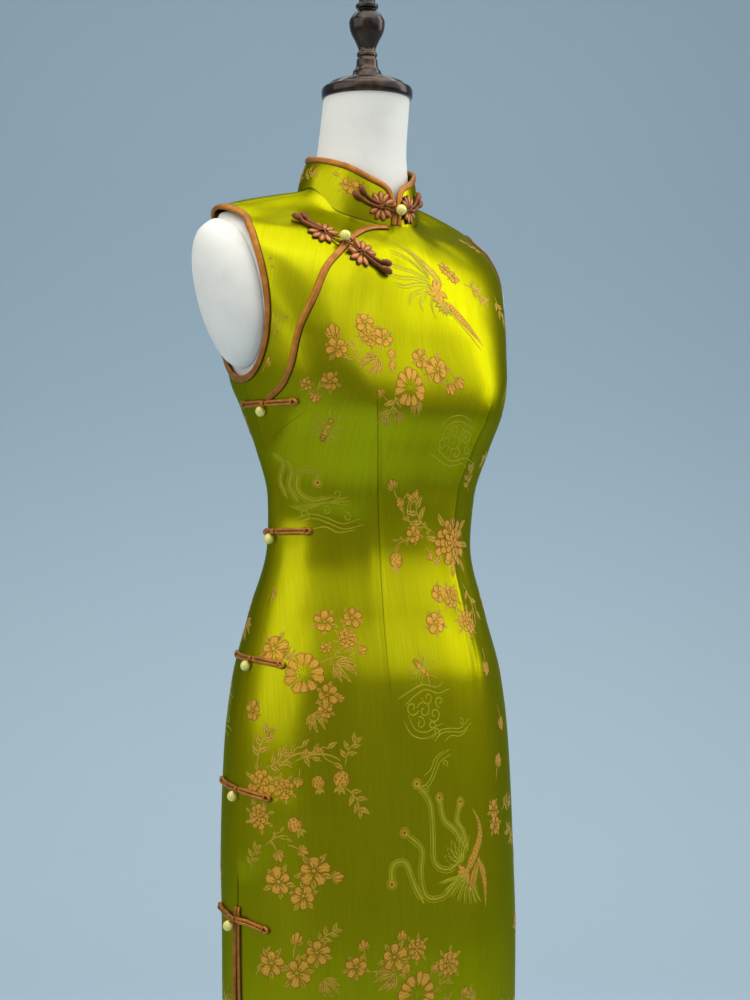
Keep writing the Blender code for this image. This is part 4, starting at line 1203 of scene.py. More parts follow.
def shell_faces(rows: int, columns: int) -> list[tuple[int, ...]]:
    """Faces of a closed sheet: an outer grid, an inner grid and the rim between."""
    inner = rows * columns
    faces = []
    for row in range(rows - 1):
        for column in range(columns - 1):
            first = row * columns + column
            quad = (first, first + 1, first + columns + 1, first + columns)
            faces.append(quad)
            faces.append(tuple(inner + corner for corner in reversed(quad)))
    rim = list(range(columns))
    rim += [row * columns + columns - 1 for row in range(1, rows)]
    rim += [(rows - 1) * columns + column for column in range(columns - 2, -1, -1)]
    rim += [row * columns for row in range(rows - 2, 0, -1)]
    for here, after in zip(rim, rim[1:] + rim[:1]):
        faces.append((after, here, inner + here, inner + after))
    return faces


@dataclass
class Panels:
    """Front, flap, back and collar: sheets of satin cut from the worn shape."""

    cut: DressCut
    collar: CollarShape
    cloth: float = 0.0012
    collar_cloth: float = 0.0015
    collar_columns: int = 121
    collar_rows: int = 12
    waist_dart: Table = (
        (-0.165, 27.5),
        (-0.083, 30.0),
        (-0.016, 31.0),
        (0.045, 32.5),
        (0.094, 33.5),
        (0.138, 34.5),
    )
    bust_dart: tuple[tuple[float, float], tuple[float, float]] = ((83.5, 0.106), (62.0, 0.135))
    back_dart_turn: float = 146.0

    def sheet(
        self,
        name: str,
        surface: Surface,
        grid: Points,
        lift: Union[float, Points],
        thick: float,
        finish: bpy.types.Material,
    ) -> bpy.types.Object:
        """Sheet of cloth on a surface.

        Args:
            name: Name of the piece.
            surface: Surface that its outer face follows.
            grid: Places of its points.
            lift: Lift of its outer face.
            thick: Thickness of the cloth.
            finish: Its material.

        Returns:
            The sheet.
        """
        outer = surface.lifted(grid, lift)
        inner = surface.lifted(grid, np.asarray(lift) - thick)
        flat = arc_map(outer).reshape(-1, 2)
        draft = MeshDraft(name)
        points = np.concatenate([outer.reshape(-1, 3), inner.reshape(-1, 3)])
        draft.add(points, shell_faces(*grid.shape[:2]), np.concatenate([flat, flat]))
        piece = draft.made(finish)
        soften_edges(piece)
        return piece

    def mark_darts(self, piece: bpy.types.Object, grid: Points) -> None:
        """Write the distances from the darts' lines, and how deep each dart is sewn."""
        turn = np.degrees(np.abs(wrapped(grid[..., 0])))
        rise = grid[..., 1]
        girth = self.cut.worn.radius(grid[..., 0], rise)
        table = self.waist_dart
        line = curve_value(table, 1, rise)
        line = np.where(turn > 90, self.back_dart_turn + (line - 31) * 0.3, line)
        waist = np.radians(turn - line) * girth
        sewn = ease((rise - table[0][0]) / 0.06) * ease((table[-1][0] + 0.012 - rise) / 0.012)
        (turn_out, rise_out), (turn_in, rise_in) = self.bust_dart
        part = (turn_out - turn) / (turn_out - turn_in)
        bust = rise - (rise_out + (rise_in - rise_out) * part)
        taken = ease((1.02 - part) / 0.25) * ease(part / 0.02) * (turn < 90)
        for name, pair in (("darts", (waist, bust)), ("sewn", (sewn, taken))):
            values = np.stack([*pair, np.zeros(turn.shape)], -1).reshape(-1, 3)
            marks = piece.data.attributes.new(name, "FLOAT_VECTOR", "POINT")
            marks.data.foreach_set("vector", np.tile(values, (2, 1)).ravel())

    def collar_grid(self) -> Points:
        """Places of the collar's points, up to its rounded front corners."""
        turns = self.collar.turns(self.collar_columns)
        grid = np.stack(np.meshgrid(turns, np.linspace(0, 1, self.collar_rows)), -1)
        grid[..., 1] *= self.collar.top_share(grid[..., 0])
        return grid

    def build(self, satin: bpy.types.Material, darted: bpy.types.Material) -> None:
        cut, worn, front = self.cut, self.cut.worn, self.cut.front()
        sheets = (
            ("front_cloth", "front_panel", worn, front, cut.lap_lift(front), self.cloth, darted),
            ("back_cloth", "back_panel", worn, cut.back(), 0.0, self.cloth, darted),
            ("flap_cloth", "front_flap", worn, cut.flap(), 0.0, self.cloth, satin),
            ("collar_cloth", "collar", self.collar, self.collar_grid(), 0.0, self.collar_cloth, satin),
        )
        for name, node, surface, grid, lift, thick, finish in sheets:
            piece = self.sheet(name, surface, grid, lift, thick, finish)
            if finish is darted:
                self.mark_darts(piece, grid)
            Riding.settle(piece, "satin", node)
            width, length, area = self.flat_size(piece)

    @staticmethod
    def flat_size(piece: bpy.types.Object) -> tuple[float, float, float]:
        """Width, length and area of a sheet before it was sewn up."""
        flat = np.empty(len(piece.data.loops) * 2)
        piece.data.uv_layers["cut"].data.foreach_get("uv", flat)
        width, length = np.ptp(flat.reshape(-1, 2), axis=0)
        area = sum(face.area for face in piece.data.polygons) / 2
        return float(width), float(length), float(min(area, width * length))


@dataclass
class Bindings:
    """Bias strips folded over every open edge of the dress."""

    cut: DressCut
    collar: CollarShape
    edge_past: float = 0.0010
    edge_width: float = 0.0065
    skirt_past: float = 0.0005
    skirt_width: float = 0.0050
    crown: float = 0.0023
    under: float = 0.0019
    corners: int = 14
    armhole_steps: int = 150
    opening_steps: int = 110
    collar_start: float = 0.03
    collar_end_steps: int = 7
    collar_steps: int = 230

    def strip(
        self,
        name: str,
        surface: Surface,
        path: Points,
        past: float,
        width: float,
        lift: Union[float, Points],
        finish: bpy.types.Material,
    ) -> None:
        """Folded strip along a path, over the cloth that lies to the path's left.

        Args:
            name: The solid that the strip stands for.
            surface: Surface of the cloth.
            path: Places along the cloth's edge.
            past: How far the strip stands past the edge.
            width: How far it runs over the cloth.
            lift: Lift of the cloth at each place.
            finish: Its material.
        """
        middle, half = (width - past) / 2, (width + past) / 2
        rings = []
        for corner in range(self.corners):
            angle = FULL * corner / self.corners
            side, up = math.cos(angle), math.sin(angle)
            offset = middle + half * math.copysign(abs(side) ** 0.8, side)
            tall = self.crown if up > 0 else self.under
            height = tall * math.copysign(abs(up) ** 0.75, up)
            place = surface.shifted(path, offset)
            rings.append(surface.lifted(place, lift + height))
        rings = np.stack(rings, axis=1)
        closed = float(np.linalg.norm(rings[0] - rings[-1])) < 1e-4
        draft = MeshDraft(name + "_trim")
        draft.add_tube(rings[:-1] if closed else rings, closed)
        flat = draft.flat[0]
        angle = np.arange(len(flat)) % self.corners * FULL / self.corners
        flat[:, 0] = middle + half * np.cos(angle)
        Riding.settle(draft.made(finish), "bronze_satin", name)

    def build(self, wide: bpy.types.Material, narrow: bpy.types.Material) -> None:
        """Make every strip."""
        worn = self.cut.worn
        for name, front in (("front", True), ("back", False)):
            path = self.cut.skirt_edge(front)
            lift = self.cut.lap_lift(path) if front else 0.0
            self.strip(f"binding_skirt_{name}", worn, path, self.skirt_past, self.skirt_width, lift, narrow)
        for side, sign in (("left", 1), ("right", -1)):
            loop = self.cut.armhole_path(sign, 0, -sign * FULL, self.armhole_steps)
            self.strip(f"binding_armhole_{side}", worn, loop, self.edge_past, self.edge_width, 0.0, wide)
        slant, level = self.cut.opening_path()
        path = worn.evenly(joined(slant, level[: -len(level) // 3]), self.opening_steps)[::-1]
        lift = self.cut.lap_lift(path)
        self.strip("binding_opening", worn, path, self.edge_past, self.edge_width, lift, wide)
        turn = self.collar.turns(161)
        top_share = self.collar.top_share(turn)
        steps = self.collar_end_steps
        ends = np.linspace(self.collar_start, 1, steps)
        start = np.stack([np.full(steps, turn[0]), ends * top_share[0]], -1)
        end = np.stack([np.full(steps, turn[-1]), ends[::-1] * top_share[-1]], -1)
        path = joined(start, np.stack([turn, top_share], -1), end)[::-1]
        path = self.collar.evenly(path, self.collar_steps)
        self.strip("binding_collar", self.collar, path, self.edge_past, self.edge_width * 0.85, 0.0, wide)


# ---------------------------------------------------------------- fastenings
def tube_rings(path: Points, radius: Union[float, Points], corners: int) -> Points:
    """Rings of a flat-lying cord along a path of (out, across, up) points."""
    tangent = unit(np.gradient(path, axis=0))
    if np.linalg.norm(path[0] - path[-1]) < TOUCHING:
        tangent[0] = tangent[-1] = unit(path[1] - path[-2])
    side = unit(np.cross(np.array([0.0, 0.0, 1.0]), tangent))
    over = np.cross(tangent, side)
    angle = np.arange(corners) * FULL / corners
    radius = np.broadcast_to(radius, len(path))[:, None, None]
    return path[:, None] + radius * spun(side, over, angle)


def spun(first: Points, second: Points, angle: Points) -> Points:
    """Directions at some angles from the first towards the second, for each pair."""
    return np.cos(angle)[None, :, None] * first[:, None] + np.sin(angle)[None, :, None] * second[:, None]


def there_and_back(points: Knots, *tip: Spot) -> Knots:
    """Points of one strand, its tip where it has one, and its mirror image backwards."""
    return (*points, *tip, *((out, -across, up) for out, across, up in reversed(points)))


def eased_run(points: Knots, steps: int) -> Points:
    """Smooth path through a few points, evenly spread."""
    knots = np.array(points, float)
    span = run_along(knots)
    padded = np.concatenate([2 * knots[:1] - knots[1:2], knots, 2 * knots[-1:] - knots[-2:-1]])
    at = np.linspace(0, span[-1], steps + 1)
    low = np.clip(np.searchsorted(span, at) - 1, 0, len(knots) - 2)
    part = ((at - span[low]) / (span[low + 1] - span[low]))[:, None]
    before, first, second, after = (padded[low + k] for k in range(4))
    bend = (
        2 * first
        + (second - before) * part
        + (2 * before - 5 * first + 4 * second - after) * part**2
        + (3 * first - before - 3 * second + after) * part**3
    )
    return bend / 2


@dataclass
class Knotwork:
    """Cords laid on a surface around an anchor, along a heading."""

    surface: Surface
    anchor: tuple[float, float]
    heading: float
    flip: float
    scale: float
    crown: float
    lift_of: Callable[[Points], Points]
    seat: float = 0.0004
    climb_start: float = 0.009
    climb_run: float = 0.008

    def laid(self, flat: Points) -> Points:
        """Lay (out, across, up) points on the surface."""
        flat = flat * np.array([1.0, self.flip, 1.0]) * self.scale
        place = self.surface.reached(self.anchor, self.heading, flat[..., :2])
        climb = self.crown * (1 - ease((flat[..., 0] - self.climb_start) / self.climb_run))
        return self.surface.lifted(place, flat[..., 2] + self.seat + climb + self.lift_of(place))

    def cord(self, draft: MeshDraft, path: Points, radius: Union[float, Points], corners: int = 10) -> None:
        """Add a cord along a path; a path that ends where it starts is a loop."""
        rings = self.laid(tube_rings(path, radius, corners))
        closed = float(np.linalg.norm(path[0] - path[-1])) < TOUCHING
        draft.add_tube(rings[:-1] if closed else rings, closed)


@dataclass
class FlowerFrog:
    """Half of a flower frog: corded, padded petals, crossed cords and two long stems."""

    name: str
    knots: Knotwork
    petal_degrees: tuple[float, ...] = (42.0, 76.0, 108.0, 142.0)
    petal_root: float = 0.0028
    petal_tip: float = 0.0172
    petal_cord: float = 0.00090
    petal_half: float = 0.00265
    pad_height: float = 0.00165
    offset: float = 0.0220
    stem_cord: float = 0.0020
    knob: float = 0.0037
    drop: float = 0.0140
    stems: Table = ((0.0310, 0.0130, 0.0022), (0.0360, 0.0030, -0.0022))
    stem_start: float = 0.0022
    cross_reach: float = 0.0042
    cross_top: float = 0.0034

    def half_width(self, along: Points) -> Points:
        """Half of a petal's width, fullest beyond its middle."""
        return self.petal_half * np.sin(math.pi * np.clip(along, 0, 1) ** 1.5) ** 0.66

    def out(self, along: Points) -> Points:
        """Distance from the flower's middle at a share of a petal's length."""
        return self.petal_root + (self.petal_tip - self.petal_cord - self.petal_root) * along

    def turned(self, degrees: float, out: Points, across: Points, up: Points) -> Points:
        """Points of a petal in the frame of the frog."""
        angle = math.radians(degrees)
        middle = self.offset + out * math.cos(angle) - across * math.sin(angle)
        return np.stack([middle, out * math.sin(angle) + across * math.cos(angle), up], -1)

    def petal(self, degrees: float) -> Points:
        """Path of one petal's cord: out along one side, round the tip and back."""
        way = np.linspace(0, FULL, 45)
        along = (1 - np.cos(way)) / 2
        across = np.sign(np.sin(way)) * self.half_width(along)
        across[[0, -1]] = 0.0
        return self.turned(degrees, self.out(along), across, np.full(len(way), self.petal_cord))

    def pad(self, degrees: float) -> Points:
        """Rings of the padding inside one petal."""
        along = np.linspace(0.10, 0.96, 13)[:, None]
        angle = np.arange(12)[None, :] * FULL / 12
        half = self.half_width(along)
        tall = self.pad_height * (0.35 + 0.65 * half / self.petal_half)
        across = np.cos(angle) * (half - 0.0003)
        up = self.petal_cord * 1.1 + np.sin(angle) * tall
        out = np.broadcast_to(self.out(along), across.shape)
        return self.turned(degrees, out, across, np.maximum(up, 0.0001))

    def build(self, cord: bpy.types.Material, padding: bpy.types.Material) -> None:
        """Make the flower and the stems."""
        draft, pads = MeshDraft(f"{self.name}_petals"), MeshDraft(f"{self.name}_pads")
        shift = np.array([self.offset, 0.0, 0.0])
        for degrees in self.petal_degrees:
            for side in (1, -1):
                self.knots.cord(draft, self.petal(side * degrees), self.petal_cord, 8)
                pads.add_tube(self.knots.laid(self.pad(side * degrees)), False)
        reach, top = self.cross_reach, self.cross_top
        for slope in (0.9, -0.9):
            lean = 0.0003 * slope
            points = ((-1.0, 0.0012), (-0.5, top + lean), (0.5, top - lean), (1.0, 0.0012))
            cross = eased_run([(reach * part, reach * slope * part, up) for part, up in points], 14)
            self.knots.cord(draft, cross + shift, 0.0010, 8)
        self.knots.cord(draft, self.bead_loop(), 0.0011, 8)
        # The cords take the darker copy of the satin, painted shade; the pads take the lighter copy, painted
        # light.
        Riding.settle(draft.made(cord), "bronze_satin", f"{self.name}_flower")
        Riding.settle(pads.made(padding), "bronze_satin", f"{self.name}_flower")
        draft = MeshDraft(f"{self.name}_curls")
        for reach_out, bend, lane in self.stems:
            self.stem(draft, reach_out, bend, lane)
        Riding.settle(draft.made(cord), "bronze_satin", f"{self.name}_stems")

    def bead_loop(self) -> Points:
        """Cord from the flower's middle round the foot of the bead and back."""
        strand = (
            (self.offset - 0.004, 0.0016, 0.0018),
            (0.0130, 0.0019, 0.0016),
            (0.0080, 0.0032, 0.0016),
            (0.0040, 0.0042, 0.0018),
            (0.0010, 0.0030, 0.0020),
        )
        return eased_run(there_and_back(strand), 60)

    def stem(self, draft: MeshDraft, reach_out: float, bend: float, lane: float) -> None:
        """Curved cord that leaves from under the petals and ends in a round knob."""
        way = 1 - (1 - np.linspace(0, 1, 40)) ** 1.5
        out = self.stem_start + (reach_out - self.stem_start) * way
        across = lane + (bend - lane) * way**2.2
        run = run_along(np.stack([out, across], -1))
        part = np.clip((run[-1] - run) / self.drop, 0, 1)
        swell = self.knob * np.sqrt(np.clip(np.sin(math.pi * part**0.62), 1e-4, None))
        size = np.where(part > 0.3, np.maximum(swell, self.stem_cord), swell)
        path = np.stack([self.offset + out, across, size + 0.0003], -1)
        self.knots.cord(draft, path, size)


@dataclass
class Bead:
    """Round bead over a place on a surface."""

    name: str
    surface: Surface
    place: tuple[float, float]
    radius: float
    lift: float
    flatness: float = 0.94

    def centre(self) -> Points:
        """Middle of the bead."""
        spot = np.array([self.place], float)
        return self.surface.lifted(spot, self.lift + self.radius)[0]

    def build(self, stone: bpy.types.Material) -> None:
        """Make the bead, a little flatter outwards than it is wide."""
        bpy.ops.object.select_all(action="DESELECT")
        bpy.ops.mesh.primitive_uv_sphere_add(segments=40, ring_count=24, radius=self.radius)
        piece = bpy.context.object
        piece.name = f"{self.name}_stone"
        bpy.ops.object.mode_set(mode="EDIT")
        bpy.ops.mesh.select_all(action="SELECT")
        bpy.ops.transform.resize(value=(1.0, 1.0, self.flatness))
        bpy.ops.object.mode_set(mode="OBJECT")
        spot = np.array([self.place], float)
        first, second = self.surface.partials(spot[:, 0], spot[:, 1])
        normal = unit(np.cross(first, second))[0]
        tall = unit(second)[0]
        side = np.cross(tall, normal)
        axes = np.stack([side, tall, normal])
        points = np.empty(len(piece.data.vertices) * 3)
        piece.data.vertices.foreach_get("co", points)
        points = points.reshape(-1, 3) @ axes + self.centre()
        piece.data.vertices.foreach_set("co", points.ravel())
        piece.data.materials.append(stone)
        piece.data.shade_smooth()
        Riding.settle(piece, "pale_bead", self.name)


@dataclass
class SideFrog:
    """Straight frog of the side opening: doubled cords, a wrapped knot and a bead."""

    number: int
    cut: DressCut
    rise: float
    seat: float
    bead_seat: float
    over: float
    sag: float = 0.0
    cord: float = 0.0017
    reach: float = 0.0450
    bead_radius: float = 0.0053
    bead_back: float = 0.0059
    bead_drop: float = 0.0073
    knot_height: float = 0.0029

    def turn(self) -> float:
        """Turn of the lapped edge at the frog."""
        return -math.radians(float(curve_value(self.cut.sides, 2, self.rise)))

    def knots(self, direction: int) -> Knotwork:
        """Frame of one arm; direction 1 is the arm on the front."""
        heading, lift = (0.0, self.cut.lap_lift) if direction > 0 else (math.pi, no_lift)
        place = (self.turn(), self.rise)
        return Knotwork(self.cut.worn, place, heading, 1.0, 1.0, self.over, lift, self.seat)

    def arm(self, direction: int) -> MeshDraft:
        """Two cords side by side, joined by a turned-under loop at the outer end."""
        name = "front" if direction > 0 else "back"
        draft = MeshDraft(f"frog_side_{self.number}_{name}_cord")
        knots = self.knots(direction)
        size = self.cord
        end = self.reach - 2 * size
        strand = (
            (0.0030, 0.6, 1.3),
            (0.0080, 1.0, 1.0),
            (0.0200, 1.05, 1.0),
            (end - 0.008, 1.02, 1.0),
            (end - 0.001, 1.45, 1.05),
        )
        points = [(out, across * size, up * size) for out, across, up in strand]
        loop = eased_run(there_and_back(points, (end + size, 0.0, 1.3 * size)), 110)
        knots.cord(draft, self.sagged(loop), size)
        tuck = ((-2.1, 0.9), (0, 2.5), (2.1, 0.9))
        points = [(end - 0.0035, across * size, up * size) for across, up in tuck]
        knots.cord(draft, self.sagged(eased_run(points, 10)), 0.0009, 8)
        return draft

    def sagged(self, path: Points) -> Points:
        """Let an arm droop towards its outer end."""
        drop = self.sag * (path[:, 0] / self.reach) ** 1.4
        return path - np.stack([np.zeros(len(path)), drop, np.zeros(len(path))], -1)

    def knot(self, draft: MeshDraft) -> None:
        """Round knot of wrapped cord between the arms."""
        knots = self.knots(1)
        spin = np.linspace(0, 3.0 * FULL, 66)
        out = 0.0002 + 0.0042 * (spin / spin[-1] - 0.5)
        bulge = 0.0019 * np.sqrt(np.clip(1.15 - (2 * spin / spin[-1] - 1) ** 2, 0.05, 1))
        path = np.stack([out, bulge * np.cos(spin), self.knot_height + bulge * np.sin(spin)], -1)
        tangent = unit(np.gradient(path, axis=0))
        radial = unit(path * np.array([0.0, 1.0, 1.0]) - np.array([0.0, 0.0, self.knot_height]))
        ring = spun(radial, np.cross(tangent, radial), np.arange(8) * FULL / 8)
        draft.add_tube(knots.laid(path[:, None] + 0.00115 * ring), False)

    def collar_of_bead(self, draft: MeshDraft) -> None:
        """Cord from the knot that holds the bead, with a turn round its top."""
        back, drop = self.bead_back, self.bead_drop
        points = (
            (0.0006, 0.0008, 0.0032),
            (back * 0.35, drop * 0.22, 0.0046),
            (back * 0.62, drop * 0.50, 0.0058),
            (back * 0.80, drop * 0.72, 0.0070),
        )
        self.knots(-1).cord(draft, eased_run(points, 16), 0.0010, 8)

    def build(self, cord: bpy.types.Material, stone: bpy.types.Material) -> None:
        """Make both arms, the knot and the bead."""
        turn = self.turn()
        girth = float(self.cut.worn.radius(np.array(turn), np.array(self.rise)))
        place = (turn - self.bead_back / girth, self.rise - self.bead_drop)
        name = f"bead_side_{self.number}"
        Bead(name, self.cut.worn, place, self.bead_radius, self.bead_seat + self.over).build(stone)
        front = self.arm(1)
        self.knot(front)
        self.collar_of_bead(front)
        Riding.settle(front.made(cord), "bronze_satin", f"frog_side_{self.number}_front")
        back = self.arm(-1)
        Riding.settle(back.made(cord), "bronze_satin", f"frog_side_{self.number}_back")


@dataclass
class Fastenings:
    """All frogs and beads of the dress."""

    cut: DressCut
    collar: CollarShape
    crown: float = 0.0026
    bead_radius: float = 0.0057
    collar_share: float = 0.41
    collar_scale: float = 0.86
    chest: tuple[float, float] = (math.radians(-43.0), 0.3045)
    chest_heading: float = math.radians(-42.0)
    chest_bead_settle: float = 0.0008
    side_frogs: Table = (
        (0.143, 0.0005, 0.0006, 0.001),
        (0.013, 0.0009, 0.0016, 0.000),
        (-0.117, 0.0003, 0.0005, 0.005),
        (-0.247, 0.0003, 0.0005, 0.007),
        (-0.377, 0.0004, 0.0005, 0.008),
    )

    def build(
        self,
        cord: bpy.types.Material,
        padding: bpy.types.Material,
        strap: bpy.types.Material,
        stone: bpy.types.Material,
    ) -> None:
        """Make the flower frogs at the collar and chest, then the side frogs.

        Args:
            cord: Finish of the flowers' cords and stems, the bronze satin painted darker as painted shade.
            padding: Finish of the petals' padding, the same bronze satin painted lighter as painted light on
                the pads.
            strap: Finish of the side frogs' cords.
            stone: Finish of the beads.
        """
        worn = self.cut.worn
        anchor = (0.0, self.collar_share)
        upward = self.chest_heading + math.pi
        halves = (
            ("frog_collar_left", self.collar, anchor, 0.0, 1, self.collar_scale, self.crown, no_lift),
            ("frog_collar_right", self.collar, anchor, math.pi, -1, self.collar_scale, self.crown, no_lift),
            ("frog_chest_upper", worn, self.chest, upward, -1, 1.0, 0.0, no_lift),
            ("frog_chest_lower", worn, self.chest, self.chest_heading, 1, 1.0, self.crown, self.cut.lap_lift),
        )
        for name, surface, place, heading, flip, scale, crown, lift_of in halves:
            knots = Knotwork(surface, place, heading, flip, scale, crown, lift_of)
            FlowerFrog(name, knots).build(cord, padding)
        Bead("bead_collar", self.collar, anchor, self.bead_radius, self.crown).build(stone)
        lift = self.cut.lap + self.crown - self.chest_bead_settle
        Bead("bead_chest", worn, self.chest, self.bead_radius, lift).build(stone)
        for number, (rise, seat, bead_seat, sag) in enumerate(self.side_frogs, 1):
            over = self.crown if rise < self.cut.slit_top else 0.0
            SideFrog(number, self.cut, rise, seat, bead_seat, over, sag).build(strap, stone)


# ---------------------------------------------------------------- form and stand
@dataclass
class DressForm:
    """Smooth limbless form that fills the dress, with plates over its arm openings."""

    cut: DressCut
    cloth: float = 0.0015
    gaps: Table = (
        (-0.310, 0.0021),
        (0.020, 0.0022),
        (0.080, 0.0033),
        (0.300, 0.0033),
        (0.336, 0.0054),
        (0.366, 0.0054),
        (0.480, 0.0020),
    )
    foot: float = -0.2795
    foot_inset: float = 0.010
    columns: int = 144
    body_rows: int = 70
    yoke_rows: int = 60
    neck_rows: int = 26
    plate_scale: float = 0.91
    plate_seat: float = 0.0013
    plate_bulge: float = 0.026
    plate_columns: int = 96

    def point(self, turn: Points, rise: Points, off: float = 0.0) -> Points:
        """Points of the form, which stands just inside the dress."""
        gap = curve_value(self.gaps, 1, rise)
        return self.cut.worn.lifted(np.stack([turn, rise], -1), off - self.cloth - gap)

    def build(self, cover: bpy.types.Material) -> None:
        """Make the torso and both plates."""
        worn = self.cut.worn
        turn = np.arange(self.columns) * FULL / self.columns
        foot = np.full(turn.shape, self.foot - worn.yoke_rise)
        side_top = np.full(turn.shape, self.cut.side_opening_top - worn.yoke_rise)
        seam = worn.reach(turn, worn.neckline_rise(turn))
        top = worn.reach(turn, np.full(turn.shape, worn.neck_top))
        levels = [foot]
        counts = self.body_rows, self.yoke_rows, self.neck_rows
        for low, high, count in zip((foot, side_top, seam), (side_top, seam, top), counts):
            levels += [low + (high - low) * step / count for step in range(1, count + 1)]
        rings = [self.point(turn, worn.rise_at(turn, level)) for level in levels]
        sunk = self.point(turn, worn.rise_at(turn, foot), -self.foot_inset)
        floor = worn.waist + self.foot - self.foot_inset * 0.6
        below = []
        for share in (0.0, 0.2, 0.45, 0.75):
            ring = rings[0] + (sunk - rings[0]) * (1 - share)
            ring[:, 2] = floor + (rings[0][:, 2] - floor) * (1 - math.sqrt(1 - share**2))
            below.append(ring)
        rings = np.stack(below + rings)
        rings[-1, :, 2] = worn.waist + worn.neck_top
        draft = MeshDraft("torso_cover")
        draft.add_tube(rings, False)
        piece = draft.made(cover)
        soften_edges(piece, 60)
        Riding.settle(piece, "form_cover", "form_torso")
        for side, sign in (("left", 1), ("right", -1)):
            self.plate(side, sign, cover)

    def plate(self, side: str, sign: int, cover: bpy.types.Material) -> None:
        """Rounded plate that closes an arm opening."""
        cut = self.cut
        around = np.arange(self.plate_columns) * FULL / self.plate_columns
        rise = cut.armhole_rise + cut.armhole_half_height * np.cos(around)
        depth = cut.armhole_depth(around, rise)
        middle_depth = (cut.armhole_foot_y + cut.armhole_top_y) / 2
        seat = [(self.plate_scale * share, 0.0) for share in (0.4, 0.8, 0.97, 1.0)]
        shares = [math.cos(angle) for angle in np.linspace(0.12, 1.0, 20) * QUARTER]
        dome = [
            (self.plate_scale * max(share, 0.01), self.plate_bulge * (1 - share**3) ** 0.5)
            for share in shares
        ]
        rings = []
        for scale, bulge in seat + dome:
            ring_rise = cut.armhole_rise + (rise - cut.armhole_rise) * scale
            ring_depth = middle_depth + (depth - middle_depth) * scale
            turn = sign * cut.worn.side_turn(ring_depth, ring_rise)
            points = self.point(turn, ring_rise, self.plate_seat)
            points[:, 0] += sign * bulge
            rings.append(points)
        draft = MeshDraft(f"plate_{side}_cover")
        draft.add_tube(np.stack(rings), False)
        piece = draft.made(cover)
        soften_edges(piece, 60)
        Riding.settle(piece, "form_cover", f"form_plate_{side}")


@dataclass
class Stand:
    """Turned cap and finial on the neck, and the pole and round base below."""

    top: float = 1.5313
    base_height: float = 0.030
    base_radius: float = 0.190
    pole_radius: float = 0.016
    pole_top: float = 0.7742
    steps: int = 96
    edge_round: float = 0.0006
    cap: Table = (
        (0.0470, 0.0000),
        (0.0482, 0.0020),
        (0.0482, 0.0090),
        (0.0470, 0.0115),
        (0.0425, 0.0125),
        (0.0395, 0.0165),
        (0.0350, 0.0185),
        (0.0190, 0.0215),
        (0.0152, 0.0270),
        (0.0148, 0.0300),
    )
    finial: Table = (
        (0.0140, 0.0000),
        (0.0120, 0.0030),
        (0.0112, 0.0075),
        (0.0112, 0.0105),
        (0.0095, 0.0140),
        (0.0108, 0.0155),
        (0.0108, 0.0180),
        (0.0088, 0.0215),
        (0.0125, 0.0310),
        (0.0178, 0.0420),
        (0.0190, 0.0510),
        (0.0150, 0.0590),
        (0.0092, 0.0645),
        (0.0120, 0.0665),
        (0.0120, 0.0695),
        (0.0090, 0.0715),
        (0.0082, 0.0790),
        (0.0060, 0.0865),
        (0.0098, 0.0915),
        (0.0098, 0.0975),
        (0.0060, 0.1025),
        (0.0015, 0.1038),
    )

    def turned(self, name: str, profile: Table, foot: float, finish: bpy.types.Material) -> None:
        """Turn a body on the lathe, ring by ring up its profile.

        Args:
            name: The solid that it stands for.
            profile: Radius and height of each ring, upwards.
            foot: Height of its foot above the floor.
            finish: Its material.
        """
        bpy.ops.object.select_all(action="DESELECT")
        radius, height = profile[0]
        place = (0.0, 0.0, foot + height)
        shape = {"vertices": self.steps, "radius": radius, "fill_type": "NGON"}
        bpy.ops.mesh.primitive_circle_add(location=place, **shape)
        piece = bpy.context.object
        piece.name = f"{name}_metal"
        bpy.ops.object.mode_set(mode="EDIT")
        bpy.ops.mesh.select_all(action="SELECT")
        for wider, higher in profile[1:]:
            move = {"value": (0.0, 0.0, higher - height)}
            bpy.ops.mesh.extrude_region_move(TRANSFORM_OT_translate=move)
            ratio = wider / radius
            bpy.ops.transform.resize(value=(ratio, ratio, 1.0))
            radius, height = wider, higher
        bpy.ops.mesh.select_all(action="SELECT")
        bpy.ops.mesh.normals_make_consistent(inside=False)
        bpy.ops.object.mode_set(mode="OBJECT")
        bpy.ops.object.transform_apply(location=True)
        bevel = piece.modifiers.new("edges", "BEVEL")
        bevel.width = self.edge_round
        bevel.segments = 3
        bevel.angle_limit = math.radians(38)
        bpy.ops.object.modifier_apply(modifier="edges")
        piece.data.materials.append(finish)
        bpy.ops.object.shade_smooth_by_angle(angle=math.radians(40))
        Riding.settle(piece, "dark_bronze", name)

    @staticmethod
    def smoothed(profile: Table, between: int) -> Table:
        """Add rings between a profile's rings, on a smooth curve."""
        rows = np.array(profile, float)
        table = np.stack([np.arange(len(rows)), rows[:, 0], rows[:, 1]], -1)
        at = np.linspace(0, len(rows) - 1, (len(rows) - 1) * between + 1)
        return tuple(zip(curve_value(table, 1, at), curve_value(table, 2, at)))

    def build(self, bronze: bpy.types.Material) -> None:
        """Make the four turned pieces."""
        self.turned("form_neck_cap", self.cap, self.top, bronze)
        self.turned("form_finial", self.smoothed(self.finial, 3), self.top + 0.0303, bronze)
        low, high = self.base_height + 0.0003, self.pole_top
        pole = (
            (self.pole_radius, low),
            (self.pole_radius, high - 0.034),
            (self.pole_radius + 0.003, high - 0.030),
            (0.030, high - 0.006),
            (0.030, high),
        )
        self.turned("form_pole", pole, 0.0, bronze)
        rim, height = self.base_radius, self.base_height
        base = (
            (rim - 0.002, 0.0),
            (rim, height - 0.025),
            (rim - 0.002, height - 0.020),
            (rim - 0.010, height - 0.016),
            (0.120, height - 0.013),
            (0.040, height - 0.008),
            (0.034, height),
        )
        self.turned("form_base", base, 0.0, bronze)


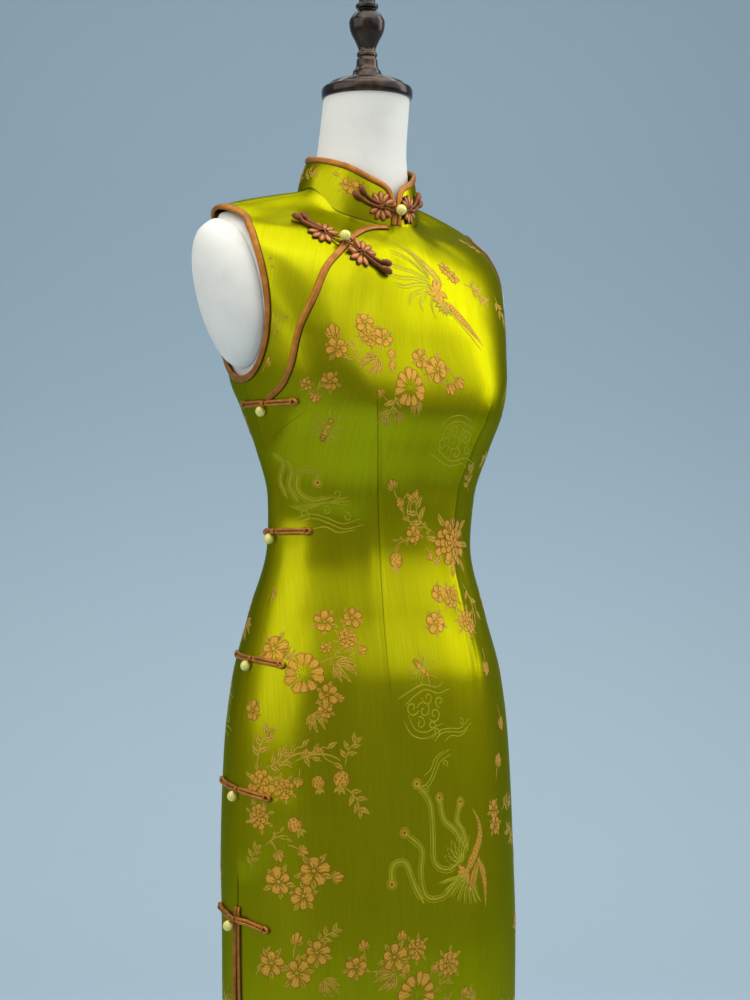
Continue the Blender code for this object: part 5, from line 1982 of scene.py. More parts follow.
# ---------------------------------------------------------------- woven pattern
class Thread(Enum):
    """Colours of the pattern's weft threads."""

    BRONZE = "bronze"
    PEACH = "peach"
    GOLD = "gold"
    GREEN = "green"


class Motif(Enum):
    """Figures of the woven pattern."""

    DAISY = "daisy"
    BLOSSOM = "blossom"
    BUD = "bud"
    BERRY = "berry"
    FAN = "fan"
    TWIG = "twig"
    STEM = "stem"
    PEONY = "peony"
    BEE = "bee"
    CLOUD = "cloud"
    WISP = "wisp"
    CURL = "curl"
    SOARING = "soaring"
    DIVING = "diving"


@dataclass
class Loom:
    """Gathers the woven floats of one sheet of cloth and lays them on it."""

    name: str
    surface: Surface
    smooth: Surface
    lift_of: Callable[[Points], Points]
    inside: Callable[[Points], Points]
    sunk: float = 0.00010
    floats: dict = field(default_factory=lambda: {thread: [] for thread in Thread})
    known: dict = field(default_factory=dict)

    def add(
        self, thread: Thread, grid: Points, flat: Points, anchor: tuple[float, float], heading: float
    ) -> None:
        """Add one float: a grid of (out, across, height) around an anchor, with its flat map."""
        self.floats[thread].append((grid, flat, anchor, heading))

    def lay(self, finishes: dict[Thread, bpy.types.Material]) -> None:
        """Lay all floats of each colour as one thin closed piece."""
        for thread, floats in self.floats.items():
            if not floats:
                continue
            drawn = np.concatenate([grid.reshape(-1, 3) for grid, _, _, _ in floats])
            flat = np.concatenate([run.reshape(-1, 2) for _, run, _, _ in floats])
            counts = np.array([grid.shape[0] * grid.shape[1] for grid, _, _, _ in floats])
            owner = np.repeat(np.arange(len(floats)), counts)
            anchor = np.array([spot for _, _, spot, _ in floats])[owner]
            heading = np.array([turned for _, _, _, turned in floats])[owner]
            place = self.smooth.reached(anchor, heading, drawn[:, :2], 5)
            outside = np.bincount(owner, ~self.inside(place), len(floats)) > 0
            kept = ~outside[owner]
            first = np.concatenate(([0], np.cumsum(np.where(outside, 0, counts))))
            place, height = place[kept], drawn[kept, 2]
            lift = self.lift_of(place)
            points = [self.surface.lifted(place, lift + height), self.surface.lifted(place, lift - self.sunk)]
            faces = []
            for number in np.flatnonzero(~outside):
                rows, columns = floats[number][0].shape[:2]
                size, start = rows * columns, int(first[number])
                under = len(place) + start - size
                for quad in self.quads(rows, columns):
                    faces.append(tuple(k + (start if k < size else under) for k in quad))
            draft = MeshDraft(f"brocade_{self.name}_{thread.value}")
            draft.add(np.concatenate(points), faces, np.tile(flat[kept], (2, 1)))
            piece = draft.made(finishes[thread])
            soften_edges(piece)
            Riding.settle(piece, "satin" if thread is Thread.GREEN else "bronze_satin")

    def quads(self, rows: int, columns: int) -> list[tuple[int, ...]]:
        """Faces of a float's closed sheet, made once for each size."""
        if (rows, columns) not in self.known:
            self.known[rows, columns] = shell_faces(rows, columns)
        return self.known[rows, columns]


def polar(radius: float, degrees: float) -> tuple[float, float]:
    """Place at a distance and direction from a figure's middle."""
    angle = math.radians(degrees)
    return radius * math.cos(angle), radius * math.sin(angle)


def curve(x: float, y: float, reach: Union[float, Points], angle: Points) -> Points:
    """Flat path at some distances and angles round a place."""
    return np.stack([x + reach * np.cos(angle), y + reach * np.sin(angle)], -1)


def beside(path: Points) -> tuple[Points, Points]:
    """Unit vectors along a flat path and to its left."""
    tangent = unit(np.gradient(path, axis=0))
    return tangent, np.stack([-tangent[:, 1], tangent[:, 0]], -1)


@dataclass
class Pen:
    """Draws the figures of the pattern, in millimetres, around a place on the cloth."""

    loom: Loom
    place: tuple[float, float]
    heading: float
    size: float = 1.0
    flip: float = 1.0

    def blade(self, thread: Thread, path: Points, half: Points, height: float) -> None:
        """Flat blade along a path.

        Args:
            thread: Colour of the blade.
            path: Its middle line.
            half: Half of its width at each point.
            height: How far it stands off the cloth, in millimetres.
        """
        side = beside(path)[1]
        across = np.linspace(-1, 1, 2 + int(float(half.max()) * self.size / 2.4))
        grid = path[:, None] + side[:, None] * half[:, None, None] * across[None, :, None]
        grid = grid * self.size * np.array([1.0, self.flip])
        tall = np.full(grid.shape[:2] + (1,), height)
        run = run_along(path) * self.size * MILLIMETRE
        flat = np.stack(np.broadcast_arrays(across, run[:, None]), -1)
        grid = np.concatenate([grid, tall], -1) * MILLIMETRE
        self.loom.add(thread, grid, flat, self.place, self.heading)

    def stroke(
        self, thread: Thread, knots: Knots, width: float, steps: int = 12, height: float = 0.16
    ) -> None:
        """Narrow stroke through a few points, finer at its ends."""
        path = eased_run(knots, steps)
        way = np.linspace(0, 1, len(path))
        half = width / 2 * (0.45 + 0.55 * np.sin(math.pi * way) ** 0.6)
        self.blade(thread, path, half, height)

    def disc(self, thread: Thread, x: float, y: float, radius: float, height: float = 0.20) -> None:
        """Small round spot."""
        angle = np.linspace(0.12, math.pi - 0.12, 6)
        path = np.stack([x - radius * np.cos(angle), np.full(6, y)], -1)
        self.blade(thread, path, radius * np.sin(angle), height)

    def outline(self, thread: Thread, path: Points, half: Points, width: float, height: float) -> None:
        """Stroke round a blade."""
        side = beside(path)[1]
        near, far = path + side * half[:, None], path - side * half[:, None]
        loop = np.concatenate([near, far[::-1], near[:1]])
        self.blade(thread, loop, np.full(len(loop), width / 2), height)

    def leaf(
        self,
        x: float,
        y: float,
        degrees: float,
        length: float,
        width: float,
        bend: float = 0.0,
        fill: Optional[Thread] = Thread.GOLD,
        edge: Optional[Thread] = None,
        round_tip: bool = False,
        vein: bool = False,
        lift: float = 0.0,
    ) -> None:
        """Leaf or petal from its root.

        Args:
            x: Root, along the motif.
            y: Root, across the motif.
            degrees: Its direction.
            length: Its length.
            width: Its greatest width.
            bend: How far its middle bows out, as a share of its length.
            fill: Colour inside it.
            edge: Colour of its outline.
            round_tip: Whether it is widest near a round tip, as a petal is.
            vein: Whether a bronze line runs up its middle.
            lift: Extra height, over what it overlaps.
        """
        count = 7 if length * self.size > 8 else 5
        way = np.linspace(0, 1, count)
        angle = math.radians(degrees)
        along, across = length * way, bend * length * np.sin(math.pi * way)
        level = x + along * math.cos(angle) - across * math.sin(angle)
        path = np.stack([level, y + along * math.sin(angle) + across * math.cos(angle)], -1)
        if round_tip:
            shape = np.sqrt(np.clip(1 - np.abs(2 * way**1.35 - 1) ** 3, 0, 1)) * (0.50 + 0.50 * way)
        else:
            shape = np.sin(math.pi * way**0.85) ** 0.85
        half = width / 2 * np.maximum(shape, 0.06)
        line = 0.62 / self.size**0.5
        if edge and not fill:
            self.outline(edge, path, half, line, 0.16 + lift)
        elif edge:
            self.blade(edge, path, half, 0.10 + lift)
            inner = path[0] + (path - path[0]) * (1 - 0.9 * line / length)
            self.blade(fill, inner, np.maximum(half - line, 0.12 * half), 0.14 + lift)
        else:
            self.blade(fill, path, half, 0.12 + lift)
        if vein:
            self.blade(Thread.BRONZE, path[1:-1], np.full(count - 2, 0.34), 0.17 + lift)

    def leaves(
        self, degrees: Sequence[float], root: tuple[float, float], *shape: float, **look: Any
    ) -> None:
        """Leaves of one shape from one root, in several directions."""
        for direction in degrees:
            self.leaf(*root, direction, *shape, **look)

    def petal(
        self, x: float, y: float, degrees: float, length: float, width: float, lift: float = 0.0
    ) -> None:
        """Round-tipped petal with a darker outline."""
        look = {"fill": Thread.PEACH, "edge": Thread.BRONZE, "round_tip": True, "lift": lift}
        self.leaf(x, y, degrees, length, width, **look)

    def ring(
        self,
        count: int,
        root: float,
        tip: float,
        width: float,
        start: float,
        uneven: float,
        lift: float = 0.0,
    ) -> None:
        """Ring of petals around the figure's middle, every second one over its neighbours.

        Args:
            count: Number of petals.
            root: Distance of their roots from the middle.
            tip: Distance of their tips.
            width: Their width.
            start: Direction of the first.
            uneven: How much they differ in length.
            lift: Extra height, over what they overlap.
        """
        chance = 37.0 * self.place[0] + 91.0 * self.place[1]
        for number in range(count):
            degrees = start + 360 * number / count + uneven * 3 * math.sin(2.3 * number + root + chance)
            long = tip - root + uneven * math.sin(1.7 * number + chance)
            wide = width * (1 + 0.10 * math.sin(3.1 * number + 2 * chance))
            over = lift + 0.07 * (number % 2)
            self.petal(*polar(root, degrees), degrees, long, wide, over)

    def daisy(self) -> None:
        """Large daisy of round petals about an open middle with fine rays."""
        self.ring(11, 7.2, 20.0, 12.0, 0.0, 1.4)
        for number in range(11):
            angle = FULL * number / 11 + 0.28
            near, far = 3.0 + 0.8 * math.sin(2.1 * number), 8.4
            ray = np.array((math.cos(angle), math.sin(angle)))
            self.stroke(Thread.BRONZE, (ray * near, ray * far), 0.55, 3, 0.20)

    def blossom(self) -> None:
        """Blossom of five round petals with a dotted middle."""
        for degrees, length in ((54, 10.0), (126, 8.0), (196, 10.5), (268, 8.0), (338, 9.0)):
            self.leaf(*polar(8, degrees), degrees, length, 5.0, 0.06, vein=True)
        self.ring(5, 1.6, 13.6, 12.4, 18.0, 1.8, 0.08)
        for number in range(5):
            self.stroke(Thread.BRONZE, ((0, 0), polar(6.4, 72 * number + 18)), 0.8, 3, 0.34)
        self.disc(Thread.GOLD, 0.0, 0.0, 1.8, 0.40)

    def bud(self) -> None:
        """Closed bud on its calyx."""
        for degrees in (26, -26):
            self.petal(0.0, 0.0, degrees, 12.0, 7.4)
        self.petal(0.0, 0.0, 0, 14.5, 8.0, 0.07)
        self.leaf(0.8, 0.0, 56, 9.0, 4.0, 0.1, vein=True)
        self.leaf(0.8, 0.0, -56, 9.0, 4.0, -0.1, vein=True)
        self.stroke(Thread.GOLD, ((0, 0), (-6, 0.9), (-14, 0)), 1.5, 6)

    def berry(self) -> None:
        """Round berry covered with seeds."""
        self.disc(Thread.BRONZE, 0.0, 0.0, 8.2, 0.11)
        self.disc(Thread.PEACH, 0.0, 0.0, 7.5, 0.15)
        for number in range(11):
            angle, radius = 2.4 * number, 2.05 * math.sqrt(number + 0.3)
            self.disc(Thread.BRONZE, radius * math.cos(angle), radius * math.sin(angle), 0.62, 0.20)
        self.leaves((145, 180, 215), (-5.6, 0.0), 9.0, 3.4)

    def fan(self) -> None:
        """Fan of long narrow leaves from one point."""
        for number, degrees in enumerate((-58, -36, -14, 8, 30, 54)):
            length = (17, 22, 26, 26, 22, 17)[number]
            self.leaf(0.0, 0.0, degrees, length, 5.4, 0.07 * math.copysign(1, degrees), vein=True)

    def twig(self) -> None:
        """Curved twig with leaves on both sides and one at its tip."""
        self.stroke(Thread.GOLD, ((-6, -2), (0, 0), (8, 2.2), (17, 2.4), (26, 0.0)), 1.6, 12)
        for x, y, degrees, length in (
            (4, 1.6, 62, 13),
            (7, 2.0, -50, 14),
            (14, 2.6, 54, 14),
            (18, 2.2, -52, 14),
            (25, 0.4, 26, 14),
            (25, 0.2, -30, 13),
        ):
            self.leaf(x, y, degrees, length, 6.4, 0.05, vein=True)

    def stem(self) -> None:
        """Bare curved stem with two tendrils."""
        self.stroke(Thread.GOLD, ((0, 0), (10, 4.2), (22, 6.0), (34, 4.0), (44, -2.0)), 2.0, 16)
        self.stroke(Thread.GOLD, ((14, 5.0), (20, 10.0), (28, 12.0), (33, 10.0)), 1.4, 9)
        self.stroke(Thread.GOLD, ((26, 5.6), (31, 0.0), (38, -4.0)), 1.4, 8)
        for x, y, degrees in ((9, 4.0, -62), (20, 6.0, 70), (32, 10.4, 28), (37, -3.6, -40)):
            self.leaf(x, y, degrees, 11.0, 5.0, 0.06, vein=True)

    def peony(self) -> None:
        """Full peony of overlapping petals, with leaf tips round it."""
        rings = (
            (12, 14.0, 26.0, 12.0, 0.0),
            (10, 8.0, 20.0, 11.5, 14.0),
            (8, 3.6, 14.0, 9.4, 5.0),
            (5, 0.2, 8.4, 7.0, 20.0),
        )
        if self.size < 0.7:
            rings = (9, 11.0, 26.0, 17.5, 0.0), (6, 4.6, 18.0, 15.0, 20.0), (4, 0.2, 10.0, 9.4, 40.0)
        for number, (count, root, tip, width, start) in enumerate(rings):
            self.ring(count, root, tip, width, start, 1.6, 0.15 * number)
        for degrees in (35, 80, 128, 172, 216, 265, 310):
            self.leaf(*polar(22, degrees), degrees, 16.0, 7.0, 0.08, vein=True)

    def bee(self) -> None:
        """Bee with a striped body, open wings and fine legs."""
        for x, length, width in ((-14.0, 15.0, 9.0), (-2.0, 10.0, 9.0), (7.0, 7.0, 7.0)):
            self.petal(x, 0.0, 0, length, width)
        for x in (-11.0, -8.2, -5.4):
            self.stroke(Thread.BRONZE, ((x, -3.6), (x - 0.8, 0.0), (x, 3.6)), 1.0, 6, 0.22)
        for side in (1, -1):
            for degrees, length, width in ((62, 20.0, 8.5), (100, 17.0, 7.0), (132, 13.0, 5.0)):
                self.leaf(1.5, 1.8 * side, degrees * side, length, width, 0.06 * side, None, Thread.GREEN)
                self.leaf(1.5, 1.8 * side, degrees * side, 0.7 * length, 1.4, 0.06 * side, Thread.GREEN)
            for x, lean in ((-5.0, -9.0), (-1.0, -3.0), (6.0, 5.0)):
                knots = ((x, 2.6 * side), (x + lean * 0.4, 8.5 * side), (x + lean, 13.5 * side))
                self.stroke(Thread.GOLD, knots, 1.2, 7)
            knots = ((13.5, 1.2 * side), (18.0, 5.0 * side), (24.0, 6.0 * side))
            self.stroke(Thread.GOLD, knots, 1.1, 7)

    def spiral(self, x: float, y: float, radius: float, start: float, turns: float) -> None:
        """Green line that curls in on itself."""
        way = np.linspace(0, 1, 20)
        angle = math.radians(start) + FULL * turns * way
        reach = radius * (1 - 0.82 * way)
        self.blade(Thread.GREEN, curve(x, y, reach, angle), np.full(20, 0.62), 0.14)

    def cloud(self) -> None:
        """Scrolled cloud drawn in lines."""
        for x, y, radius, start, turns in (
            (0, 0, 9.0, 200, 1.2),
            (13, 4, 8.0, 150, -1.2),
            (-14, -3, 8.0, 20, 1.1),
            (5, -12, 7.0, 180, -1.1),
            (-5, 12, 6.4, 250, 1.1),
            (20, -8, 6.0, 90, 1.1),
            (9, 15, 5.0, 40, -1.0),
        ):
            self.spiral(x, y, radius, start, turns)
        self.trails(
            ((-22, -6), (-11, -14), (3, -20), (19, -16), (34, -20)),
            ((-19, 4), (-12, 17), (1, 21), (12, 17), (24, 13)),
            ((-30, -12), (-14, -20), (0, -25), (16, -22), (26, -26)),
            ((-24, 9), (-16, 22), (0, 27), (16, 22)),
        )

    def trails(self, *lines: Knots) -> None:
        """Thin trailing lines of cloud."""
        for knots in lines:
            self.stroke(Thread.GREEN, knots, 1.3, 16, 0.14)

    def wisp(self) -> None:
        """Thin trailing wisps of cloud."""
        self.trails(
            ((-30, 1), (-14, 6), (2, 2), (16, -3), (34, 2)),
            ((-26, -3), (-12, 2), (4, -3), (18, -8), (36, -4)),
            ((-12, -8), (0, -6), (12, -11), (28, -9)),
        )
        self.spiral(-20, 6, 5.6, 260, 1.1)
        self.spiral(20, 3, 4.6, 100, -1.0)

    def plume(self, knots: Knots, eye: bool = True) -> None:
        """Long tail plume: a bright line with barbs on both sides and an eye at its end."""
        line = eased_run(knots, 38)
        tangent, side = beside(line)
        self.blade(Thread.GREEN, line, np.full(39, 0.95), 0.16)
        for away in (-2.8, 3.4):
            self.blade(Thread.GREEN, line[3:-2] + side[3:-2] * away, np.full(34, 0.36), 0.13)
        for number in range(3, 37):
            for hand in (-1, 1):
                root = line[number]
                lean = side[number] * 2.6 * hand - tangent[number] * 1.6
                self.stroke(Thread.GREEN, (tuple(root), tuple(root + lean)), 0.7, 2, 0.14)
        if eye:
            x, y = line[-1]
            way = np.linspace(0, FULL, 17)
            for radius, width, thread in ((2.7, 1.0, Thread.PEACH), (5.2, 0.50, Thread.GREEN)):
                self.blade(thread, curve(x, y, radius, way), np.full(17, width), 0.18)
            self.disc(Thread.BRONZE, x, y, 1.2, 0.20)

    def feather(self, knots: Knots, width: float, thread: Thread, edge: Thread) -> None:
        """Broad curved feather, pointed at its end."""
        line = eased_run(knots, 14)
        way = np.linspace(0, 1, 15)
        half = width / 2 * np.maximum(np.sin(math.pi * way**0.6) ** 0.8, 0.05)
        self.blade(edge, line, half, 0.10)
        self.blade(thread, line[:-1], np.maximum(half[:-1] - 0.75, 0.1), 0.17)

    def soaring(self) -> None:
        """Soaring phoenix: fine plumes to one side and one long barred feather."""
        for knots in (
            ((-4, 12), (-22, 20), (-40, 24), (-60, 27)),
            ((-5, 9), (-24, 13), (-42, 12), (-58, 16)),
            ((-5, 7), (-24, 6), (-40, 2), (-52, 4)),
            ((-3, 15), (-18, 30), (-32, 38), (-46, 42)),
            ((-2, 17), (-14, 36), (-24, 46), (-36, 54)),
            ((-7, 4), (-22, -2), (-34, -8), (-40, -18)),
            ((-8, 2), (-18, -8), (-24, -14), (-24, -24)),
            ((-4, 0), (-8, -12), (-10, -20), (-8, -30)),
        ):
            self.stroke(Thread.GREEN, knots, 1.8, 16)
            self.stroke(Thread.GREEN, [(x + 0.6, y - 3.4) for x, y in knots], 1.2, 14)
        self.feather(((12, 6), (6, 18), (-6, 32), (-20, 47)), 9.0, Thread.GOLD, Thread.GREEN)
        for degrees, length in ((60, 16), (95, 15), (140, 15), (185, 17), (230, 15), (280, 14), (330, 13)):
            self.leaf(4.0, -2.0, degrees, length, 7.0, 0.1, Thread.PEACH, Thread.BRONZE)
        self.barred(((12, -12), (24, -26), (38, -42), (52, -58)), 9.0)
        self.stroke(Thread.GREEN, ((8, -16), (20, -31), (34, -47), (48, -63)), 1.4, 14)
        directions = (150, 175, 200, 225, 245, 262, 285)
        self.leaves(directions, (10.0, -13.0), 16.0, 5.6, 0.05, fill=Thread.GOLD, edge=Thread.BRONZE)

    def barred(self, knots: Knots, width: float) -> None:
        """Broad feather with slanting bars across it."""
        self.feather(knots, width, Thread.PEACH, Thread.GOLD)
        line = eased_run(knots, 20)
        tangent, side = beside(line)
        for number in range(2, 17):
            reach = width * 0.34 * (1 - number / 24)
            near = line[number] - side[number] * reach
            far = line[number] + side[number] * reach + tangent[number] * 1.6
            self.stroke(Thread.BRONZE, (tuple(near), tuple(far)), 0.9, 2, 0.22)

    def diving(self) -> None:
        """Diving phoenix: eyed plumes above and curved wing feathers to one side."""
        self.plume(((-12, 2), (-30, -5), (-46, 4), (-47, 34), (-50, 64), (-66, 84)))
        self.plume(((-12, -8), (-34, -30), (-58, -30), (-64, -6), (-62, 18), (-82, 36)))
        self.plume(((-62, -36), (-72, -18), (-82, 6), (-96, 4), (-98, -14)))
        self.plume(((-4, 14), (-18, 34), (-32, 46), (-37, 68)))
        self.plume(((0, 12), (-6, 32), (-14, 44), (-8, 62)))
        self.barred(((-6, -12), (6, 2), (20, 22), (20, 38), (10, 54)), 10.0)
        self.barred(((0, -30), (8, -14), (18, 4)), 10.0)
        self.barred(((14, 2), (22, -10), (25, -26), (24, -48)), 8.5)
        directions = (150, 180, 210, 240, 270)
        self.leaves(directions, (-4.0, -8.0), 14.0, 6.8, 0.1, fill=Thread.PEACH, edge=Thread.BRONZE)
        for number in range(8):
            x, y = -10 + 2.6 * number, -12 - 1.4 * number
            along, across = polar(32 - 1.6 * number, 190 + 14 * number)
            knots = ((x, y), (x + along * 0.5 - 3, y + across * 0.5), (x + along, y + across))
            self.stroke(Thread.GREEN, knots, 1.8, 12)
            self.stroke(Thread.GREEN, [(a + 2.6, b - 1.4) for a, b in knots], 1.0, 12)
        for degrees in (64, 84, 104, 124, 144, 164):
            self.leaf(-8.0, 2.0, degrees, 26.0, 8.0, 0.12, None, Thread.GREEN)
            self.leaf(-8.0, 2.0, degrees, 20.0, 2.0, 0.12, Thread.GREEN)

    def curl(self) -> None:
        """Curled tail of a phoenix with long side strokes."""
        self.plume(((24, -16), (4, -19), (-12, -8), (-8, 12), (10, 12), (10, 0)))
        self.plume(((-26, -16), (-34, 4), (-26, 22), (-38, 34)), False)
        self.plume(((-12, -20), (-22, -2), (-16, 14), (-22, 26)), False)
        for shift in (0, 5, 10):
            knots = ((-24 + shift, -24), (-6, -29 + shift * 0.5), (18, -22), (44, -25 + shift))
            self.stroke(Thread.GREEN, knots, 1.5, 16)
        self.spiral(30, -12, 5.5, 200, 1.1)
        self.spiral(18, -30, 5.0, 120, -1.1)

    def draw(self, motif: Motif) -> None:
        """Draw one figure, by the method of its name."""
        getattr(self, motif.value)()


